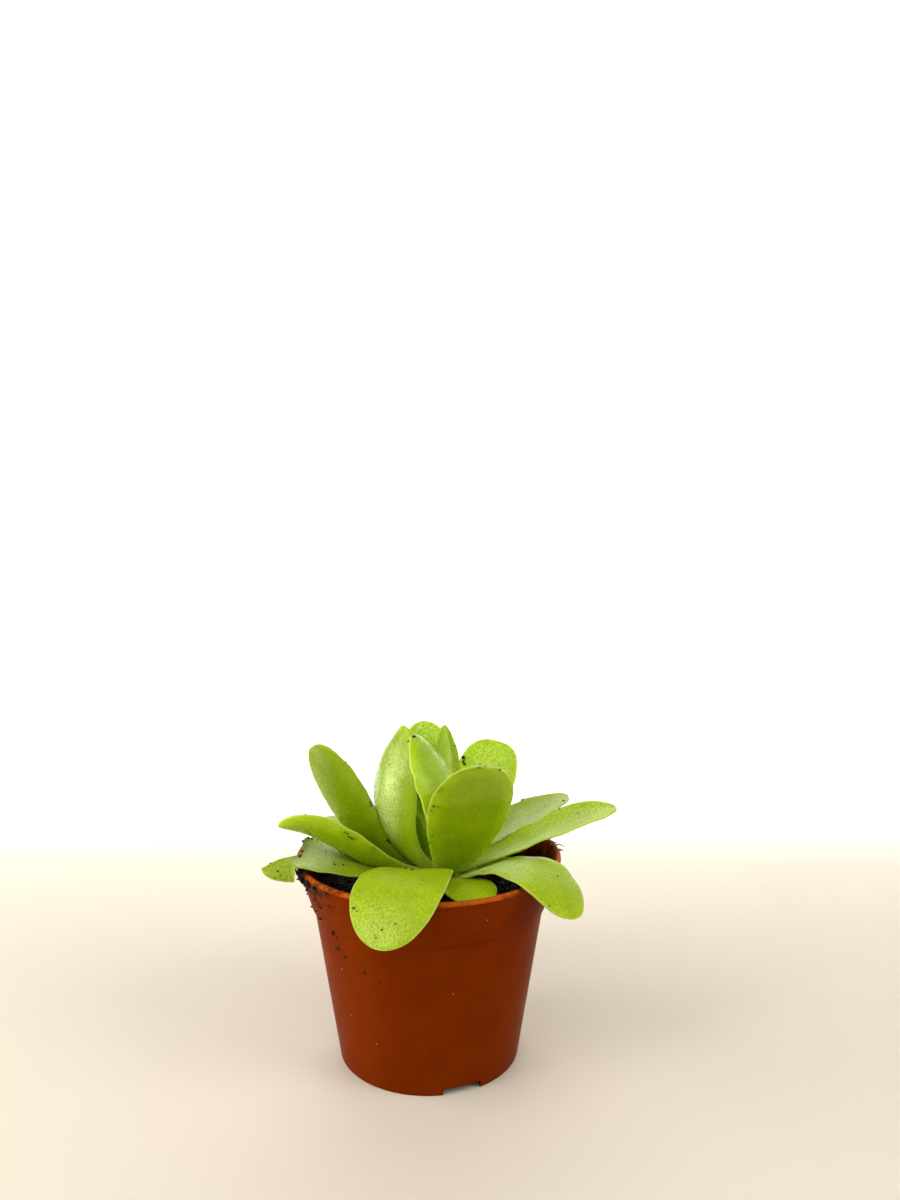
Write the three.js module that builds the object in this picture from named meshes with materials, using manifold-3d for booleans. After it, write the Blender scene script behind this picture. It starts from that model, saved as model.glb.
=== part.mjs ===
// A butterwort growing in a round plastic nursery pot.
//
// Units are millimetres and +Z is up. The origin is the middle of the flat pad under the pot. The
// front of the plant faces -Y, with +X to its right.
//
// The pieces are the pot, the soil, the crown (the short stem with its root) and one piece for each
// leaf. Every leaf grows from the crown, and is about 0.3 mm clear of it and of the leaves beside it.

import * as THREE from "three";
import { mergeVertices } from "three/addons/utils/BufferGeometryUtils.js";
import Module from "manifold-3d";

const wasm = await Module();
wasm.setup();

// ---------------------------------------------------------------- driving dimensions

// The gaps between the pot, the soil and the crown, and round each leaf.
const CLEARANCE = 0.3;
const LEAF_CLEARANCE = 0.4;

const POT_HEIGHT = 70;
const RIM_RADIUS = 45;
const LIP_HEIGHT = 1.7;
const LIP_WIDTH = 1.6;
const LIP_OVERHANG = 0.6;
const COLLAR_BOTTOM = 54;
const COLLAR_BOTTOM_RADIUS = 40;
const BODY_TOP_RADIUS = 39.2;
const FOOT_RADIUS = 30.6;
const WALL = 1.0;
const CHAMFER = 0.7;
const FLOOR_UNDERSIDE = 3.0;
const FLOOR_THICKNESS = 1.2;
const PAD_RADIUS = 14;
const PAD_DRAFT = 0.6;
const FOOT_RING_WIDTH = 1.5;
const POT_SEGMENTS = 64;

const NOTCH_AZIMUTHS = [-68.3, 51.7, 171.7];
const NOTCH_WIDTH = 13;
const NOTCH_HEIGHT = 2.7;
const NOTCH_DEPTH = 8;

const DRAIN_HOLES = 6;
const DRAIN_RADIUS = 3;
const DRAIN_CIRCLE_RADIUS = 21;
const DRAIN_DEPTH = 6;
const DRAIN_SEGMENTS = 14;

const SOIL_EDGE_HEIGHT = 56.5;
const SOIL_MIDDLE_HEIGHT = 58.5;
const SOIL_BUMP = 0.5;
const SOIL_RINGS = 9;
const SOIL_SEGMENTS = 48;

// The crown's outline as [radius, height]: the root, the flare over the soil and the growing point.
const CROWN_PROFILE = [
  [0, 40],
  [2.2, 40],
  [4.6, 55],
  [8.4, 58.2],
  [9.0, 60.6],
  [8.4, 63.6],
  [6.6, 66.4],
  [4.2, 68.6],
  [1.6, 70],
  [0, 70.2],
];
const CROWN_X = 3;
const CROWN_Y = 0;
const CROWN_SEGMENTS = 20;

// Leaves start on five tiers of the crown: how far out from its axis, and how high.
const TIERS = [
  { radius: 7.4, height: 60.2 },
  { radius: 7.0, height: 61.8 },
  { radius: 6.2, height: 63.6 },
  { radius: 5.0, height: 65.4 },
  { radius: 3.0, height: 67.4 },
];

const BASE_STATIONS = 8;
const TIP_STATIONS = 9;
const LEAF_SECTION_POINTS = 12;
const MIDRIB_STEPS = 60;

const BASE_THICKNESS = 2.2;
const TIP_THICKNESS = 1.3;
const THINNING = 1.6;
const BASE_CURVE = 1.4;
const TIP_CURVE = 2.2;
const MARGIN_ROUNDNESS = 0.5;
// The margins are thin, so a grown leaf widens more than it thickens to keep the same gap.
const MARGIN_GROWTH = 2;

// One leaf to an entry. The lists run from the crown to the tip, in degrees:
//   heading  the compass direction of the midrib, where 0 is +X and 90 is the back
//   rise     how steeply the midrib climbs, where more than 90 leans back over the crown
//   roll     how far the blade is turned about its midrib
//   cup      how far the margins are bent up
// base is the width at the crown as a share of the greatest width, and broad is where along the
// blade that greatest width is. tip is 2 for a round tip, less for a pointed one and more for a
// blunt one. A torn leaf keeps only a share of its right half beyond a place along its length. The
// left half of a leaf with a lobe turns down from one place to another, and hangs narrower there.
//
// Where leaves crowd together at the crown, the one named first keeps its full shape, and the ones
// after it are cut clear of it.
const LEAVES = [
  {
    name: "leaf_front_broad",
    place: { tier: 2, length: 53, width: 27.5 },
    bend: { heading: [290, 300, 308], rise: [36, 56, 66, 66], roll: [12, 20], cup: [20, 12] },
    outline: { base: 0.26, broad: 0.68, tip: 2.2 },
  },
  {
    name: "leaf_drooping_front",
    place: { tier: 1, length: 60, width: 30 },
    bend: { heading: [257, 253, 246], rise: [36, 28, 7, -33, -67], roll: [-4, -4], cup: [10, -10] },
    outline: { base: 0.28, broad: 0.64, tip: 2.1 },
  },
  {
    name: "leaf_drooping_right",
    place: { tier: 1, length: 54.5, width: 25.5 },
    bend: { heading: [325, 323, 321], rise: [21, 27.5, 7.5, -29, -54], roll: [1, 4], cup: [10, 0, -12] },
    outline: { base: 0.27, broad: 0.66, tip: 2 },
  },
  {
    name: "leaf_small_front",
    place: { tier: 1, length: 32, width: 18 },
    bend: { heading: [290, 292, 294], rise: [20, 10, -14], roll: [0, 0], cup: [15, 5] },
    outline: { base: 0.35, broad: 0.62, tip: 2 },
  },
  {
    name: "leaf_upturned_left",
    place: { tier: 2, length: 52.5, width: 22.5 },
    bend: { heading: [200, 194, 186], rise: [5, 21, 33, 27, 13], roll: [-18, -32], cup: [45, 55] },
    outline: { base: 0.35, broad: 0.6, tip: 1.8 },
  },
  {
    name: "leaf_torn_left",
    place: { tier: 1, length: 54, width: 26 },
    bend: {
      heading: [195, 193, 191],
      rise: [15.8, 19.4, 13, -5, -14],
      roll: [5, 5],
      cup: [8, 4, 3, 4, 14, 34, 10],
    },
    outline: { base: 0.3, broad: 0.6, tip: 1.8 },
    torn: { beyond: 0.74, keeps: 0.25 },
    lobe: { from: 0.8, to: 0.825, keeps: 0.74, cup: -78 },
  },
  {
    name: "leaf_folded",
    place: { tier: 3, length: 56, width: 26 },
    bend: { heading: [286, 304, 361], rise: [32, 79, 121, 136], roll: [-30, -22, 16], cup: [38, 25] },
    outline: { base: 0.12, broad: 0.7, tip: 1.6 },
  },
  {
    name: "leaf_bulging",
    place: { tier: 3, length: 57, width: 29 },
    bend: { heading: [200, 206, 198], rise: [31, 56, 84, 111, 128], roll: [0, -14], cup: [50, 56, 50] },
    outline: { base: 0.58, broad: 0.6, tip: 2.3 },
  },
  {
    name: "leaf_tall_left",
    place: { tier: 3, length: 59, width: 18.5 },
    bend: { heading: [186, 184, 184], rise: [4, 38, 60, 62, 60], roll: [-35, -55, -62], cup: [30, 20] },
    outline: { base: 0.42, broad: 0.62, tip: 1.9 },
  },
  {
    name: "leaf_long_right",
    place: { tier: 2, length: 59, width: 17.5 },
    bend: { heading: [354, 356, 358], rise: [22, 25.5, 24.5, 13], roll: [-6, -12], cup: [35, 22] },
    outline: { base: 0.4, broad: 0.66, tip: 1.7 },
  },
  {
    name: "leaf_upper_right",
    place: { tier: 3, length: 50.5, width: 19.5 },
    bend: { heading: [28, 26, 24], rise: [20, 23, 20, 10], roll: [0, 0], cup: [25, 12] },
    outline: { base: 0.36, broad: 0.6, tip: 1.7 },
  },
  {
    name: "leaf_round_back_right",
    place: { tier: 4, length: 46, width: 23 },
    bend: { heading: [47, 46, 46], rise: [38, 47, 56, 68], roll: [-10, -24], cup: [25, 18] },
    outline: { base: 0.36, broad: 0.7, tip: 2.7 },
  },
  {
    name: "leaf_narrow_upright",
    place: { tier: 4, length: 47, width: 12.5 },
    bend: { heading: [50, 0, -18], rise: [60, 80, 100, 112], roll: [5, 30], cup: [45, 55] },
    outline: { base: 0.36, broad: 0.6, tip: 1.8 },
  },
  {
    name: "leaf_upright_back",
    place: { tier: 4, length: 47, width: 21 },
    bend: { heading: [110, 112, 112], rise: [60, 72, 80, 84], roll: [0, 0], cup: [30, 18] },
    outline: { base: 0.36, broad: 0.64, tip: 2.2 },
  },
  {
    name: "leaf_low_right",
    place: { tier: 1, length: 24, width: 13 },
    bend: { heading: [8, 6, 4], rise: [8, 6, 2], roll: [0, 0], cup: [20, 10] },
    outline: { base: 0.35, broad: 0.6, tip: 1.9 },
  },
  {
    name: "leaf_middle_back",
    place: { tier: 3, length: 46, width: 19 },
    bend: { heading: [84, 80, 76], rise: [30, 30, 26, 18], roll: [0, 0], cup: [25, 15] },
    outline: { base: 0.36, broad: 0.62, tip: 2 },
  },
  {
    name: "leaf_middle_back_left",
    place: { tier: 3, length: 33, width: 15 },
    bend: { heading: [136, 133, 130], rise: [30, 42, 48], roll: [0, 0], cup: [25, 15] },
    outline: { base: 0.36, broad: 0.62, tip: 2 },
  },
  {
    name: "leaf_low_back_right",
    place: { tier: 1, length: 46, width: 18 },
    bend: { heading: [44, 50, 54], rise: [20, 19, 9, 2], roll: [0, 0], cup: [15, 5] },
    outline: { base: 0.35, broad: 0.62, tip: 2 },
  },
  {
    name: "leaf_low_back",
    place: { tier: 2, length: 50, width: 20 },
    bend: { heading: [108, 108, 106], rise: [20, 15, 4, -8], roll: [0, 0], cup: [15, 5] },
    outline: { base: 0.35, broad: 0.62, tip: 2 },
  },
  {
    name: "leaf_low_back_left",
    place: { tier: 1, length: 48, width: 18 },
    bend: { heading: [146, 147, 148], rise: [16, 17, 10, 0], roll: [0, 0], cup: [20, 10] },
    outline: { base: 0.35, broad: 0.62, tip: 2 },
  },
  {
    name: "leaf_young_left",
    place: { tier: 4, length: 22, width: 9 },
    bend: { heading: [215, 220, 225], rise: [60, 66, 70], roll: [0, 0], cup: [40, 30] },
    outline: { base: 0.4, broad: 0.6, tip: 1.9 },
  },
  {
    name: "leaf_young_right",
    place: { tier: 4, length: 19, width: 8 },
    bend: { heading: [35, 30, 25], rise: [62, 68, 72], roll: [0, 0], cup: [40, 30] },
    outline: { base: 0.4, broad: 0.6, tip: 1.9 },
  },
];

// ---------------------------------------------------------------- solids and meshes

// A closed geometry as a solid that can be joined and cut.
function toSolid(geometry) {
  const plain = geometry.clone();
  plain.deleteAttribute("normal");
  plain.deleteAttribute("uv");
  const merged = mergeVertices(plain, 1e-4);
  return new wasm.Manifold(
    new wasm.Mesh({
      numProp: 3,
      vertProperties: new Float32Array(merged.attributes.position.array),
      triVerts: new Uint32Array(merged.index.array),
    }),
  );
}

// The largest connected body of a solid: a cut may leave loose scraps beside it.
function largestBody(solid) {
  const bodies = solid.decompose();
  return bodies.reduce((best, body) => (body.volume() > best.volume() ? body : best));
}

function toMesh(solid, name, material) {
  const cut = solid.getMesh();
  const geometry = new THREE.BufferGeometry();
  geometry.setAttribute("position", new THREE.BufferAttribute(cut.vertProperties, 3));
  geometry.setIndex(new THREE.BufferAttribute(cut.triVerts, 1));
  geometry.computeVertexNormals();
  const mesh = new THREE.Mesh(geometry, material);
  mesh.name = name;
  return mesh;
}

function paint(color, roughness) {
  return new THREE.MeshStandardMaterial({ color, roughness, metalness: 0 });
}

// A closed geometry turned about the Z axis, from [radius, height] points that start and end on it.
function turned(profile, segments) {
  const points = profile.map(([radius, height]) => new THREE.Vector2(radius, height));
  const geometry = new THREE.LatheGeometry(points, segments);
  geometry.rotateX(Math.PI / 2);
  return geometry;
}

// The normal of a profile's edge, to the right of the way from one point to the next.
function edgeNormal([radius, height], [nextRadius, nextHeight]) {
  return new THREE.Vector2(nextHeight - height, radius - nextRadius).normalize();
}

// A profile moved outwards by a distance, with its corners kept sharp and its ends on the axis.
function offsetProfile(profile, distance) {
  return profile.map((point, i) => {
    const edges = [];
    if (i > 0) edges.push(edgeNormal(profile[i - 1], point));
    if (i < profile.length - 1) edges.push(edgeNormal(point, profile[i + 1]));
    const normal = edges.reduce((sum, edge) => sum.clone().add(edge)).normalize();
    const reach = distance / normal.dot(edges[0]);
    const [radius, height] = point;
    return [radius > 0 ? radius + reach * normal.x : 0, height + reach * normal.y];
  });
}

// ---------------------------------------------------------------- pot

const floorTop = FLOOR_UNDERSIDE + FLOOR_THICKNESS;
const collarTop = POT_HEIGHT - LIP_HEIGHT;
const bodyTop = COLLAR_BOTTOM - CHAMFER;

// The outside radius of the wall at a height: a tapered body under a wider, flared collar.
function outsideRadius(height) {
  const taper = (BODY_TOP_RADIUS - FOOT_RADIUS) / COLLAR_BOTTOM;
  if (height < COLLAR_BOTTOM) return FOOT_RADIUS + taper * height;
  const collarTopRadius = RIM_RADIUS - LIP_OVERHANG;
  const flare = (collarTopRadius - COLLAR_BOTTOM_RADIUS) / (collarTop - COLLAR_BOTTOM);
  return COLLAR_BOTTOM_RADIUS + flare * (height - COLLAR_BOTTOM);
}

// Under the pot a flat pad carries it, with a thin foot ring round it.
function undersideProfile() {
  const ringInside = FOOT_RADIUS - FOOT_RING_WIDTH;
  return [
    [0, 0],
    [PAD_RADIUS, 0],
    [PAD_RADIUS + PAD_DRAFT, FLOOR_UNDERSIDE],
    [ringInside, FLOOR_UNDERSIDE],
    [ringInside, 0],
    [FOOT_RADIUS - CHAMFER, 0],
    [outsideRadius(CHAMFER), CHAMFER],
  ];
}

function outsideProfile() {
  return [
    [outsideRadius(bodyTop), bodyTop],
    [COLLAR_BOTTOM_RADIUS, COLLAR_BOTTOM],
    [outsideRadius(collarTop), collarTop],
  ];
}

// The rolled lip: a small bead that stands a little proud of the collar.
function lipProfile() {
  const bevel = 0.5;
  return [
    [RIM_RADIUS, collarTop + bevel],
    [RIM_RADIUS, POT_HEIGHT - bevel],
    [RIM_RADIUS - bevel, POT_HEIGHT],
    [RIM_RADIUS - LIP_WIDTH + bevel, POT_HEIGHT],
    [RIM_RADIUS - LIP_WIDTH, POT_HEIGHT - bevel],
  ];
}

// The inside from the collar down to the middle of the floor, which dips into the hollow pad.
function insideProfile() {
  const fillet = 1;
  const padInside = PAD_RADIUS - 0.5;
  return [
    [COLLAR_BOTTOM_RADIUS - WALL, COLLAR_BOTTOM + CHAMFER / 2],
    [outsideRadius(bodyTop) - WALL, bodyTop + CHAMFER / 2],
    [outsideRadius(floorTop + fillet) - WALL, floorTop + fillet],
    [outsideRadius(floorTop) - WALL - fillet, floorTop],
    [padInside, floorTop],
    [padInside - PAD_DRAFT, FLOOR_THICKNESS],
    [0, FLOOR_THICKNESS],
  ];
}

function footNotch(azimuth) {
  const box = new THREE.BoxGeometry(NOTCH_DEPTH, NOTCH_WIDTH, 2 * NOTCH_HEIGHT);
  box.translate(FOOT_RADIUS, 0, 0);
  box.rotateZ(THREE.MathUtils.degToRad(azimuth));
  return toSolid(box);
}

function drainHole(index) {
  const hole = new THREE.CylinderGeometry(DRAIN_RADIUS, DRAIN_RADIUS, DRAIN_DEPTH, DRAIN_SEGMENTS);
  hole.rotateX(Math.PI / 2);
  hole.translate(DRAIN_CIRCLE_RADIUS, 0, FLOOR_UNDERSIDE);
  hole.rotateZ((index * 2 * Math.PI) / DRAIN_HOLES);
  return toSolid(hole);
}

function makePot() {
  const profile = [...undersideProfile(), ...outsideProfile(), ...lipProfile(), ...insideProfile()];
  let pot = toSolid(turned(profile, POT_SEGMENTS));
  for (const azimuth of NOTCH_AZIMUTHS) pot = pot.subtract(footNotch(azimuth));
  for (let index = 0; index < DRAIN_HOLES; index += 1) pot = pot.subtract(drainHole(index));
  return pot;
}

// ---------------------------------------------------------------- crown and soil

// The crown is a short cone that tapers down into a root; grow widens it all round.
function makeCrown(grow) {
  const geometry = turned(offsetProfile(CROWN_PROFILE, grow), CROWN_SEGMENTS);
  geometry.translate(CROWN_X, CROWN_Y, 0);
  return toSolid(geometry);
}

// The loose top of the soil: highest in the middle, with shallow bumps.
function soilHeight(x, y) {
  const share = Math.hypot(x, y) / BODY_TOP_RADIUS;
  const dome = SOIL_MIDDLE_HEIGHT + (SOIL_EDGE_HEIGHT - SOIL_MIDDLE_HEIGHT) * share * share;
  const wideBumps = Math.sin(0.42 * x + 1.1) * Math.sin(0.5 * y + 0.4);
  const smallBumps = 0.6 * Math.sin(0.9 * x - 0.7 * y);
  return dome + SOIL_BUMP * (wideBumps + smallBumps);
}

// The soil fills the pot up to a little over the collar's step, less the clearance.
function makeSoil() {
  const againstPot = offsetProfile(insideProfile(), CLEARANCE).reverse();
  const top = [];
  const edge = againstPot[againstPot.length - 1][0];
  for (let ring = 0; ring <= SOIL_RINGS; ring += 1) {
    top.push([edge * (1 - ring / SOIL_RINGS), SOIL_EDGE_HEIGHT]);
  }
  const geometry = turned([...againstPot, ...top], SOIL_SEGMENTS);
  const place = geometry.attributes.position;
  for (let i = 0; i < place.count; i += 1) {
    const onTop = place.getZ(i) > SOIL_EDGE_HEIGHT - 1;
    if (onTop) place.setZ(i, soilHeight(place.getX(i), place.getY(i)));
  }
  return toSolid(geometry);
}

// ---------------------------------------------------------------- leaves

// A smooth value at a share from 0 to 1 of an evenly spaced list.
function along(list, share) {
  const last = list.length - 1;
  const index = Math.min(Math.floor(share * last), last - 1);
  const t = share * last - index;
  const before = list[Math.max(index - 1, 0)];
  const [from, to] = [list[index], list[index + 1]];
  const after = list[Math.min(index + 2, last)];
  const slopeFrom = index === 0 ? to - from : (to - before) / 2;
  const slopeTo = index + 2 > last ? to - from : (after - from) / 2;
  const square = t * t;
  const cube = square * t;
  return (
    (2 * cube - 3 * square + 1) * from +
    (cube - 2 * square + t) * slopeFrom +
    (3 * square - 2 * cube) * to +
    (cube - square) * slopeTo
  );
}

function angleAlong(list, share) {
  return THREE.MathUtils.degToRad(along(list, share));
}

// The blade's frame at a share of its length: along the midrib, across the blade, and out of it.
function bladeFrame(leaf, share) {
  const heading = angleAlong(leaf.bend.heading, share);
  const rise = angleAlong(leaf.bend.rise, share);
  const roll = angleAlong(leaf.bend.roll, share);
  const forward = new THREE.Vector3(
    Math.cos(rise) * Math.cos(heading),
    Math.cos(rise) * Math.sin(heading),
    Math.sin(rise),
  );
  const level = new THREE.Vector3(Math.sin(heading), -Math.cos(heading), 0);
  const upright = level.clone().cross(forward);
  const across = level.clone().multiplyScalar(Math.cos(roll)).addScaledVector(upright, Math.sin(roll));
  const out = upright.multiplyScalar(Math.cos(roll)).addScaledVector(level, -Math.sin(roll));
  return { forward, across, out };
}

// The midrib's points, stepped out from the crown.
function midrib(leaf) {
  const tier = TIERS[leaf.place.tier];
  const heading = angleAlong(leaf.bend.heading, 0);
  const point = new THREE.Vector3(
    CROWN_X + tier.radius * Math.cos(heading),
    CROWN_Y + tier.radius * Math.sin(heading),
    tier.height,
  );
  const points = [point.clone()];
  for (let step = 0; step < MIDRIB_STEPS; step += 1) {
    const middle = (step + 0.5) / MIDRIB_STEPS;
    point.addScaledVector(bladeFrame(leaf, middle).forward, leaf.place.length / MIDRIB_STEPS);
    points.push(point.clone());
  }
  return points;
}

// The blade's half width: a narrow base, broadest part way along, then a rounded or pointed tip.
// side runs from -1 at the left margin to 1 at the right one, seen from the crown.
function halfWidth(leaf, share, side) {
  const { base, broad, tip } = leaf.outline;
  let part = 1;
  if (share < broad) {
    part = base + (1 - base) * Math.sin((Math.PI / 2) * (share / broad)) ** BASE_CURVE;
  } else {
    part = (1 - ((share - broad) / (1 - broad)) ** TIP_CURVE) ** (1 / tip);
  }
  if (leaf.torn && side > 0 && share > leaf.torn.beyond) part *= leaf.torn.keeps;
  if (leaf.lobe) part *= 1 + (leaf.lobe.keeps - 1) * hanging(leaf, share, side);
  return (leaf.place.width / 2) * part;
}

// How far a side of the blade has turned down into its lobe, from 0 to 1.
function hanging(leaf, share, side) {
  if (!leaf.lobe || side >= 0) return 0;
  return THREE.MathUtils.smoothstep(share, leaf.lobe.from, leaf.lobe.to);
}

function cupAt(leaf, share, side) {
  const cup = angleAlong(leaf.bend.cup, share);
  if (!leaf.lobe) return cup;
  const turned = THREE.MathUtils.degToRad(leaf.lobe.cup);
  return THREE.MathUtils.lerp(cup, turned, hanging(leaf, share, side));
}

function thickness(share) {
  return BASE_THICKNESS + (TIP_THICKNESS - BASE_THICKNESS) * Math.min(1, THINNING * share);
}

// Where the rings stand: evenly up to the broadest place, then closer and closer to the tip. Two
// more stand where a lobe turns down.
function stations(leaf) {
  const { broad } = leaf.outline;
  const shares = [];
  for (let i = 0; i < BASE_STATIONS; i += 1) shares.push((broad * i) / BASE_STATIONS);
  for (let i = 0; i < TIP_STATIONS; i += 1) {
    shares.push(broad + (1 - broad) * Math.sin((Math.PI / 2) * (i / TIP_STATIONS)));
  }
  if (leaf.lobe) shares.push(leaf.lobe.from, leaf.lobe.to);
  return shares.sort((first, second) => first - second);
}

// One ring of the blade: a thin rounded section, bent into an arc so that its margins rise.
function section(leaf, share, centre, grow) {
  const { across, out } = bladeFrame(leaf, share);
  const ring = [];
  for (let i = 0; i < LEAF_SECTION_POINTS; i += 1) {
    const angle = (2 * Math.PI * i) / LEAF_SECTION_POINTS;
    const side = Math.cos(angle);
    const face = Math.sin(angle);
    const fullness = Math.sign(face) * Math.abs(face) ** MARGIN_ROUNDNESS;
    const lift = fullness * (thickness(share) / 2 + grow);
    const cup = cupAt(leaf, share, side);
    const bend = side * cup;
    const reach = halfWidth(leaf, share, side) + MARGIN_GROWTH * grow;
    const radius = reach / (cup || Number.EPSILON);
    ring.push(
      centre
        .clone()
        .addScaledVector(across, (radius - lift) * Math.sin(bend))
        .addScaledVector(out, radius * (1 - Math.cos(bend)) + lift * Math.cos(bend)),
    );
  }
  return ring;
}

// The triangles that close a row of rings into a skin, with a single point at each end.
function skin(ringCount) {
  const count = LEAF_SECTION_POINTS;
  const lastRing = 1 + (ringCount - 1) * count;
  const end = 1 + ringCount * count;
  const faces = [];
  for (let i = 0; i < count; i += 1) {
    const next = (i + 1) % count;
    faces.push(0, 1 + i, 1 + next);
    faces.push(lastRing + i, end, lastRing + next);
    for (let low = 1; low < lastRing; low += count) {
      const high = low + count;
      faces.push(low + i, high + i, high + next, low + i, high + next, low + next);
    }
  }
  return faces;
}

// The blade as a closed solid; grow makes it larger all round, to cut a gap in a neighbour.
function makeLeaf(leaf, grow = 0) {
  const spine = midrib(leaf);
  const heel = spine[0].addScaledVector(bladeFrame(leaf, 0).forward, -grow);
  const tip = spine[MIDRIB_STEPS].addScaledVector(bladeFrame(leaf, 1).forward, grow);
  const rings = stations(leaf).map((share) => {
    const step = Math.floor(share * MIDRIB_STEPS);
    const centre = spine[step].clone().lerp(spine[step + 1], share * MIDRIB_STEPS - step);
    return section(leaf, share, centre, grow);
  });
  const geometry = new THREE.BufferGeometry().setFromPoints([heel, ...rings.flat(), tip]);
  geometry.setIndex(skin(rings.length));
  return toSolid(geometry);
}

// ---------------------------------------------------------------- assembly

const terracotta = paint(0x8a3a10, 0.45);
const peat = paint(0x17110c, 0.95);
const crownGreen = paint(0x6f8f1e, 0.6);
const grownCrown = makeCrown(CLEARANCE);

const model = new THREE.Group();
model.add(toMesh(makePot(), "pot", terracotta));
model.add(toMesh(makeSoil().subtract(grownCrown), "soil", peat));
model.add(toMesh(makeCrown(0), "crown", crownGreen));

const keptClear = [grownCrown];
for (const leaf of LEAVES) {
  const blade = keptClear.reduce((rest, neighbour) => rest.subtract(neighbour), makeLeaf(leaf));
  model.add(toMesh(largestBody(blade), leaf.name, paint(0x8fb31f, 0.5)));
  keptClear.push(makeLeaf(leaf, LEAF_CLEARANCE));
}

export default model;
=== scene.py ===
# %% [markdown]
# # A butterwort in a nursery pot
#
# A butterwort is a small carnivorous plant. It grows a loose rosette of fleshy leaves, and the upper
# face of each leaf is covered with tiny stalked glands, whose sticky drops catch gnats. This one
# stands in peat in a thin plastic pot.
#
# The plant could be sculpted by eye, but its pieces already have a place and a size in a CAD model.
# So this lesson loads that model as a fixed frame and grows a finer piece in the place of each plain
# one. Sizes are in millimetres, as on a drawing, and become metres when a mesh is made.

# %% Tools, units and the fixed frame
import math

import bmesh
import bpy
import numpy as np
from mathutils import Matrix, Vector, kdtree, noise


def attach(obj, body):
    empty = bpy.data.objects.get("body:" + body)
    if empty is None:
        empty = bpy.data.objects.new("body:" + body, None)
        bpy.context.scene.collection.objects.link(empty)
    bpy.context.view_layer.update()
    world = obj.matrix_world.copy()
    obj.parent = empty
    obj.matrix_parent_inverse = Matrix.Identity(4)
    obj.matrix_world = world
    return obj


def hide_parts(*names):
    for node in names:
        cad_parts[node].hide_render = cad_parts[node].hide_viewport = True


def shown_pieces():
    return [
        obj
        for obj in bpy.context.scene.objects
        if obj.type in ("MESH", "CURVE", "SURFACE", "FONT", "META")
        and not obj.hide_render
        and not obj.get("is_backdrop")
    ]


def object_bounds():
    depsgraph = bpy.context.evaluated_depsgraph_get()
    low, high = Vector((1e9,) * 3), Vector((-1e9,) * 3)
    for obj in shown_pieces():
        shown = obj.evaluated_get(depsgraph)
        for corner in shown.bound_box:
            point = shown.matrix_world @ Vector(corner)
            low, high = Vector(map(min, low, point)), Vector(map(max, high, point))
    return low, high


MM = 0.001

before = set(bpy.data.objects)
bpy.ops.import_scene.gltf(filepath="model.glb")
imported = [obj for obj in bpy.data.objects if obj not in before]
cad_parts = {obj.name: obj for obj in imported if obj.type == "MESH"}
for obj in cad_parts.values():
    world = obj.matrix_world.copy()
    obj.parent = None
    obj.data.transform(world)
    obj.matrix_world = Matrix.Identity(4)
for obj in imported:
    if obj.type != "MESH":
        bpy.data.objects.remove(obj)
cad_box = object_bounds()
print("CAD nodes:", len(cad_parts))
print("CAD size in mm:", [round(side / MM, 1) for side in cad_box[1] - cad_box[0]])

# %% [markdown]
# ## The camera
#
# The plant is looked at from a little above its rim, from about a third of a metre away. A lens of
# 31 mm on a 36 mm sensor takes in the whole pot with room to spare. The camera comes first, so that
# each piece can be judged in the view while it is being made.

# %% The camera
CAMERA_PLACE = (7.2, -343.7, 193.2)
CAMERA_PITCH = 6.07
LENS = 31.09


def add_camera():
    camera = bpy.data.objects.new("camera", bpy.data.cameras.new("camera"))
    camera.data.lens = LENS
    camera.data.clip_start = 0.01
    camera.location = Vector(CAMERA_PLACE) * MM
    camera.rotation_euler = (math.radians(90 - CAMERA_PITCH), 0, 0)
    bpy.context.collection.objects.link(camera)
    bpy.context.scene.camera = camera


add_camera()
print("Camera height in mm:", CAMERA_PLACE[2])

# %% [markdown]
# ## Helpers for materials
#
# A finish is a small network of nodes. Built by hand in the shader editor, each node is a click and
# each link a drag. In code the same three steps come again and again: add a node, set its sockets,
# and read its output. These helpers are those steps, and every size they take is in millimetres.

# %% Helpers that add nodes
def plug(material, socket, value):
    """Sets a socket to a constant, or links it to the output of another node."""
    if isinstance(value, bpy.types.NodeSocket):
        material.node_tree.links.new(value, socket)
    else:
        socket.default_value = value


def add_node(material, kind, inputs, **settings):
    node = material.node_tree.nodes.new("ShaderNode" + kind)
    for name, value in settings.items():
        setattr(node, name, value)
    for name, value in inputs.items():
        plug(material, node.inputs[name], value)
    return node


def new_material(name, surface):
    """A material whose surface sockets are set to constants."""
    material = bpy.data.materials.new(name)
    material.use_nodes = True
    for socket, value in surface.items():
        material.node_tree.nodes["Principled BSDF"].inputs[socket].default_value = value
    return material


def set_surface(material, sockets):
    for socket, value in sockets.items():
        plug(material, material.node_tree.nodes["Principled BSDF"].inputs[socket], value)


# %% Helpers for patterns
def object_place(material):
    """Where a point of the surface is, in metres from the piece's origin."""
    return add_node(material, "TexCoord", {}).outputs["Object"]


def cloudy(material, size, detail=3):
    """Soft noise from 0 to 1 with patches of about this size."""
    inputs = {"Vector": object_place(material), "Scale": 1 / (size * MM), "Detail": detail}
    return add_node(material, "TexNoise", inputs).outputs["Fac"]


def cells(material, size):
    """The distance from the middle of each cell of about this size."""
    inputs = {"Vector": object_place(material), "Scale": 1 / (size * MM)}
    return add_node(material, "TexVoronoi", inputs).outputs["Distance"]


# %% Helpers that scale, blend and bump
def painted(material, name):
    """A value that the mesh carries at each of its points."""
    return add_node(material, "Attribute", {}, attribute_name=name).outputs["Fac"]


def ramp(material, value, low, high, start=0, end=1):
    """Goes smoothly from start to end while the value goes from low to high."""
    inputs = {"Value": value, "From Min": low, "From Max": high, "To Min": start, "To Max": end}
    node = add_node(material, "MapRange", inputs, interpolation_type="SMOOTHSTEP")
    return node.outputs["Result"]


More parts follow.
